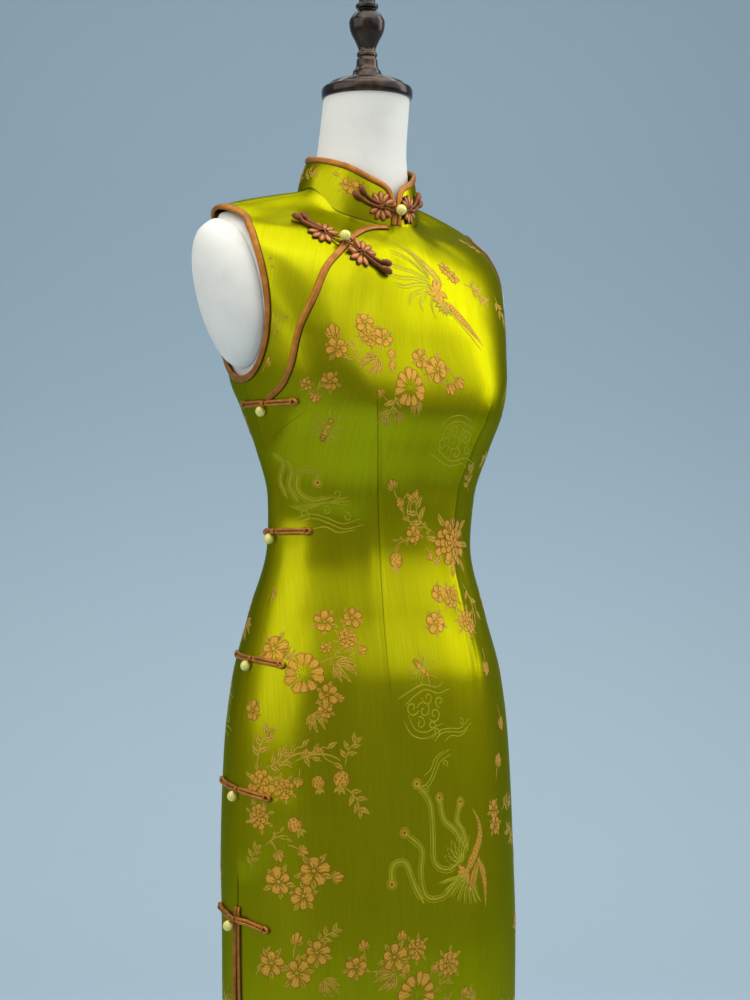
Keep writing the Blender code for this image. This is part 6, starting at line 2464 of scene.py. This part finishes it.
# Where each figure stands: degrees round, rise, its heading in degrees, its size, and -1
# where it is mirrored. On the collar the rise is a share of its height.
FRONT_FIGURES = (
    (Motif.SOARING, 9.0, 0.262, 0, 1.00, 1),
    (Motif.BLOSSOM, 22.0, 0.288, 30, 0.55, 1),
    (Motif.BLOSSOM, 26.0, 0.279, 0, 0.60, 1),
    (Motif.TWIG, 34.0, 0.272, -35, 0.90, 1),
    (Motif.TWIG, 52.0, 0.262, -60, 0.90, -1),
    (Motif.BUD, -50.0, 0.204, 100, 1.05, 1),
    (Motif.BLOSSOM, -49.0, 0.194, 40, 0.85, 1),
    (Motif.STEM, -33.5, 0.180, 152, 0.75, 1),
    (Motif.PEONY, -36.0, 0.207, 10, 0.42, 1),
    (Motif.BLOSSOM, -37.5, 0.221, 0, 0.75, 1),
    (Motif.BLOSSOM, -29.5, 0.206, 50, 0.80, 1),
    (Motif.FAN, -33.0, 0.185, 222, 0.95, 1),
    (Motif.BERRY, -26.5, 0.190, 90, 0.62, 1),
    (Motif.BERRY, -26.8, 0.178, 90, 0.55, 1),
    (Motif.DAISY, -17.5, 0.157, 0, 1.02, 1),
    (Motif.BLOSSOM, -9.5, 0.187, 0, 0.80, 1),
    (Motif.BLOSSOM, 1.0, 0.178, 25, 1.10, 1),
    (Motif.BUD, 7.5, 0.164, -60, 0.95, 1),
    (Motif.BUD, 12.5, 0.170, -48, 1.00, -1),
    (Motif.STEM, -10.0, 0.170, 20, 0.45, 1),
    (Motif.TWIG, -26.0, 0.150, 250, 0.95, 1),
    (Motif.BUD, -32.0, 0.148, 140, 0.60, 1),
    (Motif.FAN, -14.0, 0.143, 285, 0.62, 1),
    (Motif.FAN, -23.0, 0.132, 250, 0.55, -1),
    (Motif.BLOSSOM, -53.0, 0.160, 0, 0.70, 1),
    (Motif.BUD, -58.5, 0.151, 250, 0.85, 1),
    (Motif.BLOSSOM, -62.0, 0.158, 20, 0.50, 1),
    (Motif.BEE, -56.5, 0.113, 62, 1.00, 1),
    (Motif.CLOUD, 18.0, 0.106, 0, 1.05, 1),
    (Motif.CLOUD, 56.0, 0.150, 30, 0.90, -1),
    (Motif.CURL, -68.0, 0.062, 0, 0.95, 1),
    (Motif.WISP, -61.0, 0.024, 0, 1.10, 1),
    (Motif.PEONY, 30.5, 0.002, 90, 0.98, 1),
    (Motif.PEONY, 22.0, -0.054, 20, 0.46, 1),
    (Motif.PEONY, 31.5, -0.080, 0, 0.50, 1),
    (Motif.STEM, 14.0, 0.012, 172, 0.62, -1),
    (Motif.TWIG, 4.5, 0.020, 118, 1.05, 1),
    (Motif.BUD, -22.0, 0.056, 120, 0.85, 1),
    (Motif.BUD, -15.0, 0.046, 230, 0.70, 1),
    (Motif.BUD, -6.0, 0.046, 60, 0.70, 1),
    (Motif.BLOSSOM, -4.0, 0.010, 10, 0.72, 1),
    (Motif.STEM, -3.0, 0.014, 110, 0.75, 1),
    (Motif.BERRY, -19.5, -0.016, 80, 1.05, 1),
    (Motif.STEM, -6.0, 0.004, 200, 0.55, -1),
    (Motif.BUD, 9.0, -0.008, 300, 0.70, 1),
    (Motif.TWIG, 44.0, 0.060, 110, 0.80, 1),
    (Motif.BLOSSOM, 6.5, -0.080, 0, 0.95, 1),
    (Motif.BLOSSOM, 13.5, -0.050, 36, 0.75, 1),
    (Motif.STEM, 36.0, -0.040, 285, 1.10, 1),
    (Motif.BUD, 38.5, -0.122, 265, 1.10, 1),
    (Motif.BEE, -9.5, -0.125, -45, 0.95, 1),
    (Motif.CLOUD, -9.0, -0.168, 0, 1.05, -1),
    (Motif.WISP, 8.0, -0.190, 18, 0.90, 1),
    (Motif.BUD, 48.0, -0.182, 290, 1.05, 1),
    (Motif.DAISY, -64.5, -0.129, 12, 1.05, 1),
    (Motif.BLOSSOM, -78.5, -0.106, 10, 1.15, 1),
    (Motif.FAN, -73.0, -0.115, 60, 0.60, 1),
    (Motif.PEONY, -48.0, -0.094, 20, 0.40, 1),
    (Motif.BLOSSOM, -46.5, -0.074, 0, 0.75, 1),
    (Motif.BLOSSOM, -58.5, -0.078, 0, 0.85, 1),
    (Motif.BLOSSOM, -56.5, -0.104, 0, 0.45, 1),
    (Motif.STEM, -58.0, -0.118, 4, 0.75, 1),
    (Motif.BUD, -43.0, -0.108, 25, 0.75, 1),
    (Motif.FAN, -52.0, -0.118, -40, 0.95, 1),
    (Motif.BLOSSOM, -55.0, -0.150, 20, 0.80, 1),
    (Motif.BLOSSOM, -55.5, -0.166, 0, 0.62, 1),
    (Motif.BUD, -51.0, -0.154, 10, 0.55, 1),
    (Motif.FAN, -60.0, -0.168, -62, 0.80, 1),
    (Motif.FAN, -86.0, -0.045, 250, 0.80, 1),
    (Motif.BLOSSOM, -84.5, -0.168, 0, 0.80, 1),
    (Motif.PEONY, -78.5, -0.240, 70, 0.62, 1),
    (Motif.PEONY, -79.0, -0.272, 250, 0.50, 1),
    (Motif.PEONY, -70.0, -0.243, 20, 0.44, 1),
    (Motif.TWIG, -80.0, -0.215, 70, 1.00, 1),
    (Motif.TWIG, -76.0, -0.222, 40, 0.80, -1),
    (Motif.STEM, -72.0, -0.222, 22, 0.95, 1),
    (Motif.STEM, -66.0, -0.216, 4, 1.05, 1),
    (Motif.BERRY, -57.5, -0.236, 100, 0.88, 1),
    (Motif.BERRY, -49.0, -0.233, 80, 1.12, 1),
    (Motif.BERRY, -65.5, -0.278, 130, 1.02, 1),
    (Motif.BUD, -62.0, -0.210, 90, 0.55, 1),
    (Motif.BUD, -57.0, -0.208, 85, 0.50, 1),
    (Motif.BUD, -64.5, -0.232, 265, 0.70, 1),
    (Motif.TWIG, -47.5, -0.215, 62, 0.78, 1),
    (Motif.TWIG, -46.5, -0.244, -58, 0.85, 1),
    (Motif.STEM, -76.0, -0.300, 24, 0.62, 1),
    (Motif.BUD, -64.0, -0.302, -20, 0.80, 1),
    (Motif.BUD, -72.0, -0.305, -60, 0.85, 1),
    (Motif.TWIG, -82.0, -0.322, 70, 0.70, 1),
    (Motif.BLOSSOM, -71.0, -0.335, 10, 1.10, 1),
    (Motif.BLOSSOM, -58.5, -0.323, 0, 1.15, 1),
    (Motif.BLOSSOM, -62.0, -0.348, 40, 0.95, 1),
    (Motif.BUD, -52.0, -0.330, 10, 0.85, 1),
    (Motif.DIVING, 16.5, -0.325, 0, 1.00, 1),
    (Motif.WISP, -4.0, -0.232, 40, 0.90, -1),
    (Motif.BUD, 42.5, -0.232, 70, 1.05, 1),
    (Motif.BLOSSOM, 37.5, -0.276, 0, 0.75, 1),
    (Motif.BLOSSOM, 38.5, -0.292, 30, 0.80, 1),
    (Motif.TWIG, 46.0, -0.276, 10, 0.80, 1),
    (Motif.BUD, -64.5, -0.396, 80, 0.95, 1),
    (Motif.BLOSSOM, -57.0, -0.403, 0, 0.95, 1),
    (Motif.BLOSSOM, -73.5, -0.416, 0, 1.05, 1),
    (Motif.BLOSSOM, -64.0, -0.424, 30, 1.05, 1),
    (Motif.TWIG, -56.0, -0.394, 40, 0.70, 1),
    (Motif.FAN, -54.5, -0.430, -50, 0.75, 1),
    (Motif.STEM, -80.0, -0.430, 40, 0.80, 1),
    (Motif.DAISY, -16.0, -0.450, 20, 1.12, 1),
    (Motif.BLOSSOM, -27.5, -0.411, 0, 1.05, 1),
    (Motif.PEONY, -16.5, -0.405, 0, 0.44, 1),
    (Motif.BUD, -24.0, -0.395, 80, 0.75, 1),
    (Motif.BERRY, -22.0, -0.424, 60, 0.75, 1),
    (Motif.BLOSSOM, -43.0, -0.418, 0, 0.85, 1),
    (Motif.BUD, -40.0, -0.402, 100, 0.80, 1),
    (Motif.STEM, -38.0, -0.424, -18, 0.60, 1),
    (Motif.FAN, -27.0, -0.428, 210, 0.95, 1),
    (Motif.PEONY, 1.5, -0.424, 0, 0.50, 1),
    (Motif.BUD, -8.0, -0.430, 50, 0.70, 1),
    (Motif.STEM, -7.0, -0.452, 30, 0.55, 1),
    (Motif.TWIG, 66.0, 0.318, 120, 0.75, 1),
    (Motif.PEONY, 70.0, 0.120, 0, 0.60, 1),
    (Motif.TWIG, 62.0, 0.100, 200, 1.00, 1),
    (Motif.BEE, 66.0, 0.040, 130, 0.90, 1),
    (Motif.DAISY, 66.0, -0.060, 0, 0.95, 1),
    (Motif.FAN, 74.0, -0.080, -40, 0.90, 1),
    (Motif.CLOUD, 70.0, -0.170, 0, 1.00, 1),
    (Motif.PEONY, 68.0, -0.330, 30, 0.72, 1),
    (Motif.TWIG, 60.0, -0.310, 160, 1.00, 1),
    (Motif.BLOSSOM, 58.0, -0.400, 0, 1.00, 1),
    (Motif.BERRY, 68.0, -0.410, 60, 0.90, 1),
)
FLAP_FIGURES = (
    (Motif.FAN, -73.5, 0.300, -20, 0.62, 1),
    (Motif.BLOSSOM, -70.0, 0.279, 0, 0.60, 1),
    (Motif.BLOSSOM, -76.0, 0.372, 0, 0.60, 1),
    (Motif.BUD, -68.0, 0.374, -10, 0.60, 1),
    (Motif.STEM, -72.0, 0.205, 66, 0.60, 1),
    (Motif.BUD, -79.0, 0.180, 50, 0.70, 1),
)
COLLAR_FIGURES = (
    (Motif.TWIG, -56.0, 0.45, 30, 0.72, 1),
    (Motif.BLOSSOM, -48.0, 0.62, 0, 0.72, 1),
    (Motif.BUD, -60.0, 0.72, 150, 0.60, 1),
    (Motif.BLOSSOM, -120.0, 0.50, 0, 0.80, 1),
    (Motif.TWIG, -105.0, 0.40, 10, 0.70, 1),
    (Motif.WISP, 180.0, 0.50, 0, 0.80, 1),
    (Motif.BLOSSOM, 120.0, 0.50, 0, 0.80, 1),
    (Motif.TWIG, 60.0, 0.45, 150, 0.72, 1),
)


@dataclass
class Brocade:
    """The woven pattern of flowers, fruit, clouds, bees and phoenixes on every sheet."""

    cut: DressCut
    collar: CollarShape
    margin: float = 0.0075
    drop: float = 0.505
    drop_turn: float = 16.0
    neck: list = field(default_factory=list)

    def clear_of_armholes(self, place: Points) -> Points:
        """Whether places stand clear of both armholes."""
        cut = self.cut
        point = cut.worn.point(place[..., 0], place[..., 1])
        part = (place[..., 1] - cut.underarm) / (2 * cut.armhole_half_height)
        middle = cut.armhole_foot_y + (cut.armhole_top_y - cut.armhole_foot_y) * part
        across = point[..., 1] - middle
        reach = np.where(across < 0, cut.armhole_front, cut.armhole_back) + self.margin
        up = (place[..., 1] - cut.armhole_rise) / (cut.armhole_half_height + self.margin)
        return (across / reach) ** 2 + up**2 > 1

    def clear_of_edges(self, place: Points) -> Points:
        """Whether places stand clear of the armholes, the neck seam and the hem."""
        turn, rise = place[..., 0], place[..., 1]
        neck = rise < np.interp(np.mod(turn, FULL), *self.neck_line()) - self.margin
        return self.clear_of_armholes(place) & neck & (rise > self.cut.worn.hem + self.margin)

    def neck_line(self) -> list:
        """Turns from 0 to a full turn and the neck seam's rise at each."""
        if not self.neck:
            turn = np.linspace(0, FULL, 121)
            self.neck = [turn, self.cut.worn.neckline_rise(turn)]
        return self.neck

    def opening_line(self) -> tuple[Points, Points]:
        """Rises and turns of the lapped edge, upwards."""
        edge = self.cut.lapped_edge()
        rise = np.maximum.accumulate(edge[:, 1] + np.arange(len(edge)) * 1e-9)
        return rise, edge[:, 0]

    def on_front(self, place: Points) -> Points:
        """Whether places lie within the front panel."""
        turn, rise = place[..., 0], place[..., 1]
        girth = self.cut.worn.radius(turn, rise)
        away = 0.003 + self.margin * ease((rise - 0.14) / 0.02)
        edge = np.interp(rise, *self.opening_line()) + away / girth
        right = ((rise < 0.318) | (turn > 0)) & (turn > edge)
        left = turn < QUARTER - 0.004 / girth
        return right & left & self.clear_of_edges(place) & self.clear_of_slit(place)

    def clear_of_slit(self, place: Points) -> Points:
        """Whether places stand clear of the slits."""
        cut, rise = self.cut, place[..., 1]
        part = np.clip((cut.slit_top - rise) / (cut.slit_top - cut.worn.hem), 0, 1)
        gap = cut.slit_gap / 2 * part**cut.slit_spread + self.margin
        gap = np.where(rise < cut.slit_top + 0.008, gap, 0)
        away = np.abs(cut.worn.point(place[..., 0], rise)[..., 1])
        return away > gap

    def on_back(self, place: Points) -> Points:
        """Whether places lie within the back panel."""
        turn = np.mod(place[..., 0], FULL)
        rise = place[..., 1]
        girth = self.cut.worn.radius(turn, rise)
        seam = np.radians(curve_value(self.cut.sides, 1, rise)) + 0.006 / girth
        return (turn > seam) & (turn < FULL - seam) & self.clear_of_edges(place) & self.clear_of_slit(place)

    def on_flap(self, place: Points) -> Points:
        """Whether places lie within the part of the flap that shows."""
        turn, rise = place[..., 0], place[..., 1]
        girth = self.cut.worn.radius(turn, rise)
        edge = np.interp(rise, *self.opening_line()) - 0.004 / girth
        return (turn < edge) & (turn > -QUARTER + 0.004) & self.clear_of_edges(place)

    def on_collar(self, place: Points) -> Points:
        """Whether places lie within the collar."""
        around = np.abs(wrapped(place[..., 0]))
        return (place[..., 1] > 0.05) & (place[..., 1] < 0.80) & (around > 0.2)

    def weave(self, loom: Loom, figures: Sequence, turned: float = 0.0, dropped: float = 0.0) -> None:
        """Draw a table of figures on one sheet's loom, moved round and down."""
        for motif, degrees, rise, heading, size, flip in figures:
            place = (math.radians(degrees + turned), rise - dropped)
            Pen(loom, place, math.radians(heading), size, flip).draw(motif)

    def build(self, finishes: dict[Thread, bpy.types.Material]) -> None:
        """Weave every sheet."""
        worn = self.cut.worn
        plain = WornShape()
        front = Loom("front", worn, plain, self.cut.lap_lift, self.on_front)
        self.weave(front, FRONT_FIGURES)
        lower = [row for row in FRONT_FIGURES if -0.30 < row[2] < 0.05]
        self.weave(front, lower, self.drop_turn, self.drop)
        front.lay(finishes)
        back = Loom("back", worn, plain, no_lift, self.on_back)
        self.weave(back, FRONT_FIGURES, 180.0)
        self.weave(back, lower, 180.0 + self.drop_turn, self.drop)
        back.lay(finishes)
        flap = Loom("flap", worn, plain, no_lift, self.on_flap)
        self.weave(flap, FLAP_FIGURES)
        flap.lay(finishes)
        neck = Loom("collar", self.collar, self.collar, no_lift, self.on_collar)
        self.weave(neck, COLLAR_FIGURES)
        neck.lay(finishes)


# ---------------------------------------------------------------- studio
@dataclass
class Studio:
    """Pale floor, backdrop, soft lights and the camera."""

    azimuth: float = math.radians(-39)
    distance: float = 2.2
    eye: float = 1.04
    scale: float = 945.0
    picture: tuple[int, int] = (750, 1000)
    axis_pixel: tuple[float, float] = (367.0, 564.0)
    warm: Colour = (1.0, 0.985, 0.94)
    sky: Colour = (1.0, 0.98, 0.93)
    sky_strength: float = 0.26
    floor: tuple[float, float] = (14.0, 7.0)
    floor_ahead: float = 0.6
    bend: float = 1.6
    bend_steps: int = 12
    wall: float = 4.0
    middle: Spot = (0.0, 0.0, 1.15)
    lamps: tuple = (
        ("left_window", (-2.5, 1.4, 2.30), (3.6, 2.3), 37.0, middle),
        ("front_window", (0.0, 1.9, 2.95), (3.2, 2.4), 12.0, middle),
        ("right_window", (2.4, 1.3, 2.50), (3.2, 2.0), 20.0, middle),
        ("ceiling", (0.2, 0.6, 3.5), (3.4, 2.6), 60.0, middle),
        ("back_window", (2.2, -0.5, 2.3), (1.0, 2.4), 24.0, middle),
        ("wash", (0.0, -1.6, 3.6), (4.0, 1.0), 40.0, (0.0, -3.4, 0.3)),
    )

    def lamp(
        self, name: str, spot: Spot, size: tuple[float, float], power: float, target: Spot
    ) -> None:
        """Soft rectangular lamp; places are to the camera's right, ahead of the dress and up.

        Args:
            name: Name of the lamp.
            spot: Where it hangs.
            size: Width and height.
            power: Watts.
            target: What it faces.
        """
        data = bpy.data.lights.new(name, "AREA")
        data.shape = "RECTANGLE"
        data.size, data.size_y = size
        data.energy = power
        data.color = self.warm
        lamp = bpy.data.objects.new(name, data)
        lamp.location = self.seen(spot)
        bpy.context.scene.collection.objects.link(lamp)
        line = np.array(self.seen(target)) - np.array(lamp.location)
        pitch = math.atan2(line[2], math.hypot(line[0], line[1]))
        lamp.rotation_euler = (QUARTER + pitch, 0.0, math.atan2(line[1], line[0]) - QUARTER)

    def seen(self, spot: Spot) -> Spot:
        """Place given to the camera's right, towards the camera and up."""
        right, near, height = spot
        ahead = np.array([math.sin(self.azimuth), -math.cos(self.azimuth)])
        beside = np.array([math.cos(self.azimuth), math.sin(self.azimuth)])
        ground = ahead * near + beside * right
        return float(ground[0]), float(ground[1]), height

    def camera(self) -> None:
        """Camera level with the waist, on the wearer's front right."""
        data = bpy.data.cameras.new("camera")
        width, height = self.picture
        data.sensor_fit = "VERTICAL"
        data.sensor_height = 24.0
        data.lens = data.sensor_height * self.scale * self.distance / height
        data.shift_x = (width / 2 - self.axis_pixel[0]) / height
        data.shift_y = (self.axis_pixel[1] - height / 2) / height
        data.clip_start, data.clip_end = 0.05, 50.0
        eye = bpy.data.objects.new("camera", data)
        spot = (self.distance * math.sin(self.azimuth), -self.distance * math.cos(self.azimuth), self.eye)
        eye.location = spot
        eye.rotation_euler = (QUARTER, 0.0, self.azimuth)
        bpy.context.scene.collection.objects.link(eye)
        bpy.context.scene.camera = eye

    def cove(self, paint: bpy.types.Material) -> None:
        """Floor that sweeps up into a backdrop behind the dress."""
        bpy.ops.object.select_all(action="DESELECT")
        bpy.ops.mesh.primitive_plane_add(size=1.0, location=(0.0, 0.0, 0.0))
        piece = bpy.context.object
        piece.name = "studio_cove"
        bpy.ops.object.mode_set(mode="EDIT")
        bpy.ops.mesh.select_all(action="SELECT")
        bpy.ops.transform.resize(value=(*self.floor, 1.0))
        bpy.ops.mesh.select_mode(type="EDGE")
        bpy.ops.mesh.select_all(action="DESELECT")
        shape = bmesh.from_edit_mesh(piece.data)
        for edge in shape.edges:
            edge.select_set(all(corner.co.y > 0 for corner in edge.verts))
        bmesh.update_edit_mesh(piece.data)
        moves = []
        for step in range(1, self.bend_steps + 1):
            before, angle = (QUARTER * part / self.bend_steps for part in (step - 1, step))
            back = self.bend * (math.sin(angle) - math.sin(before))
            moves.append((0.0, back, self.bend * (math.cos(before) - math.cos(angle))))
        for move in (*moves, (0.0, 0.0, self.wall)):
            bpy.ops.mesh.extrude_region_move(TRANSFORM_OT_translate={"value": move})
        bpy.ops.object.mode_set(mode="OBJECT")
        piece.rotation_euler = (0.0, 0.0, self.azimuth)
        piece.location = self.seen((0.0, self.floor_ahead, -0.001))
        piece.data.materials.append(paint)
        piece.data.shade_smooth()

    def build(self) -> None:
        """Set up the whole studio."""
        self.cove(PlainStudio("studio_paint").make())
        world = bpy.data.worlds.new("sky")
        bpy.context.scene.world = world
        world.use_nodes = True
        back = world.node_tree.nodes["Background"]
        back.inputs["Color"].default_value = (*self.sky, 1.0)
        back.inputs["Strength"].default_value = self.sky_strength
        for lamp in self.lamps:
            self.lamp(*lamp)
        self.camera()
        bpy.context.scene.view_settings.view_transform = "Standard"


# ---------------------------------------------------------------- the whole model
# Soft folds of the worn dress: degrees and rise of the start and the end, width, and height
# (below 0 in a hollow).
FOLDS = (
    (-34.0, 0.110, -29.0, -0.190, 0.019, 0.0027),
    (34.0, 0.110, 29.0, -0.190, 0.019, 0.0027),
    (-88.0, 0.103, -62.0, 0.136, 0.013, 0.0017),
    (88.0, 0.103, 62.0, 0.136, 0.013, 0.0017),
    (-92.0, 0.018, -34.0, 0.022, 0.014, -0.0016),
    (-88.0, 0.052, -40.0, 0.056, 0.013, 0.0008),
    (-84.0, -0.012, -46.0, -0.016, 0.014, 0.0008),
    (-84.0, -0.118, -52.0, -0.136, 0.010, 0.0007),
    (-84.0, -0.248, -50.0, -0.262, 0.012, 0.0007),
    (-20.0, 0.020, 20.0, 0.016, 0.014, -0.0006),
    (-10.0, 0.045, 24.0, 0.052, 0.012, 0.0005),
    (-60.0, 0.190, -46.0, 0.110, 0.016, -0.0008),
    (-52.0, 0.245, -38.0, 0.160, 0.016, 0.0007),
    (-74.0, 0.372, -50.0, 0.352, 0.007, 0.0008),
    (-72.0, 0.352, -52.0, 0.330, 0.008, -0.0008),
    (-36.0, 0.352, -14.0, 0.345, 0.006, 0.0007),
    (-34.0, 0.306, -12.0, 0.300, 0.007, 0.0009),
    (-32.0, 0.290, -8.0, 0.276, 0.008, -0.0008),
    (-18.0, 0.326, 10.0, 0.312, 0.007, 0.0008),
    (14.0, 0.352, 40.0, 0.330, 0.008, 0.0009),
    (18.0, 0.330, 46.0, 0.300, 0.010, -0.0009),
    (58.0, 0.372, 72.0, 0.330, 0.008, 0.0008),
    (-66.0, 0.300, -56.0, 0.230, 0.008, 0.0007),
    (-74.0, 0.250, -60.0, 0.200, 0.007, -0.0007),
    (-58.0, -0.300, -54.0, -0.700, 0.024, 0.0014),
    (-30.0, -0.340, -27.0, -0.760, 0.026, -0.0012),
    (6.0, -0.280, 4.0, -0.740, 0.030, 0.0013),
    (38.0, -0.320, 42.0, -0.760, 0.028, -0.0012),
    (70.0, -0.300, 66.0, -0.740, 0.026, 0.0013),
    (150.0, 0.030, 210.0, 0.026, 0.010, -0.0012),
    (148.0, 0.052, 212.0, 0.048, 0.010, 0.0010),
    (146.0, 0.006, 214.0, 0.004, 0.011, 0.0009),
    (130.0, -0.320, 134.0, -0.760, 0.028, 0.0012),
    (180.0, -0.300, 181.0, -0.760, 0.032, -0.0012),
    (226.0, -0.320, 222.0, -0.760, 0.028, 0.0012),
)


def main() -> None:
    """Build the dress, its form and the studio, and report each part."""
    logging.basicConfig(level=logging.INFO, format="%(message)s", stream=sys.stdout)
    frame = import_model()
    LOG.info("loaded %d solids", len(frame["nodes"]))
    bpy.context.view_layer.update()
    plain = WornShape()
    folds = (SoftFold(row[0:2], row[2:4], *row[4:]) for row in FOLDS)
    worn = WornShape(folds=tuple(folds))
    cut = DressCut(worn)
    collar = CollarShape(plain)
    satin = SatinGround("lime_satin").make()
    darted = SatinGround("lime_satin_darted", darts=True).make()
    wide = BiasSatin("bronze_binding", seam_from=0.0052).make()
    narrow = BiasSatin("bronze_skirt_binding", seam_from=0.0040).make()
    # The cord and the padding are one bronze satin in two tones: the cord is darker as painted shade round
    # the petals, and the padding is lighter as painted light on the pads' tops.
    cord = BiasSatin("bronze_cord_shaded", (0.260, 0.088, 0.030), (0.100, 0.028, 0.009)).make()
    padding = BiasSatin("bronze_padding_lit", (0.600, 0.260, 0.085), (0.360, 0.135, 0.038)).make()
    strap = BiasSatin("bronze_strap", (0.500, 0.205, 0.034), (0.230, 0.080, 0.012)).make()
    stone = PaleBead().make()
    DressForm(DressCut(plain)).build(FormCover().make())
    Panels(cut, collar).build(satin, darted)
    Bindings(cut, collar).build(wide, narrow)
    Fastenings(cut, collar).build(cord, padding, strap, stone)
    bronze, olive = (0.260, 0.120, 0.004), (0.320, 0.300, 0.012)
    wefts = {
        Thread.BRONZE: ((0.270, 0.130, 0.006), (0.210, 0.110, 0.004), bronze),
        Thread.PEACH: ((0.760, 0.400, 0.052), (0.640, 0.370, 0.035), bronze),
        Thread.GOLD: ((0.640, 0.450, 0.050), (0.500, 0.380, 0.030), bronze),
        Thread.GREEN: ((0.460, 0.415, 0.014), (0.380, 0.350, 0.010), olive),
    }
    threads = {
        thread: BrocadeThread(f"{thread.value}_weft", *colours).make() for thread, colours in wefts.items()
    }
    Brocade(cut, collar).build(threads)
    Stand().build(DarkBronze().make())
    Studio().build()


if __name__ == "__main__":
    main()
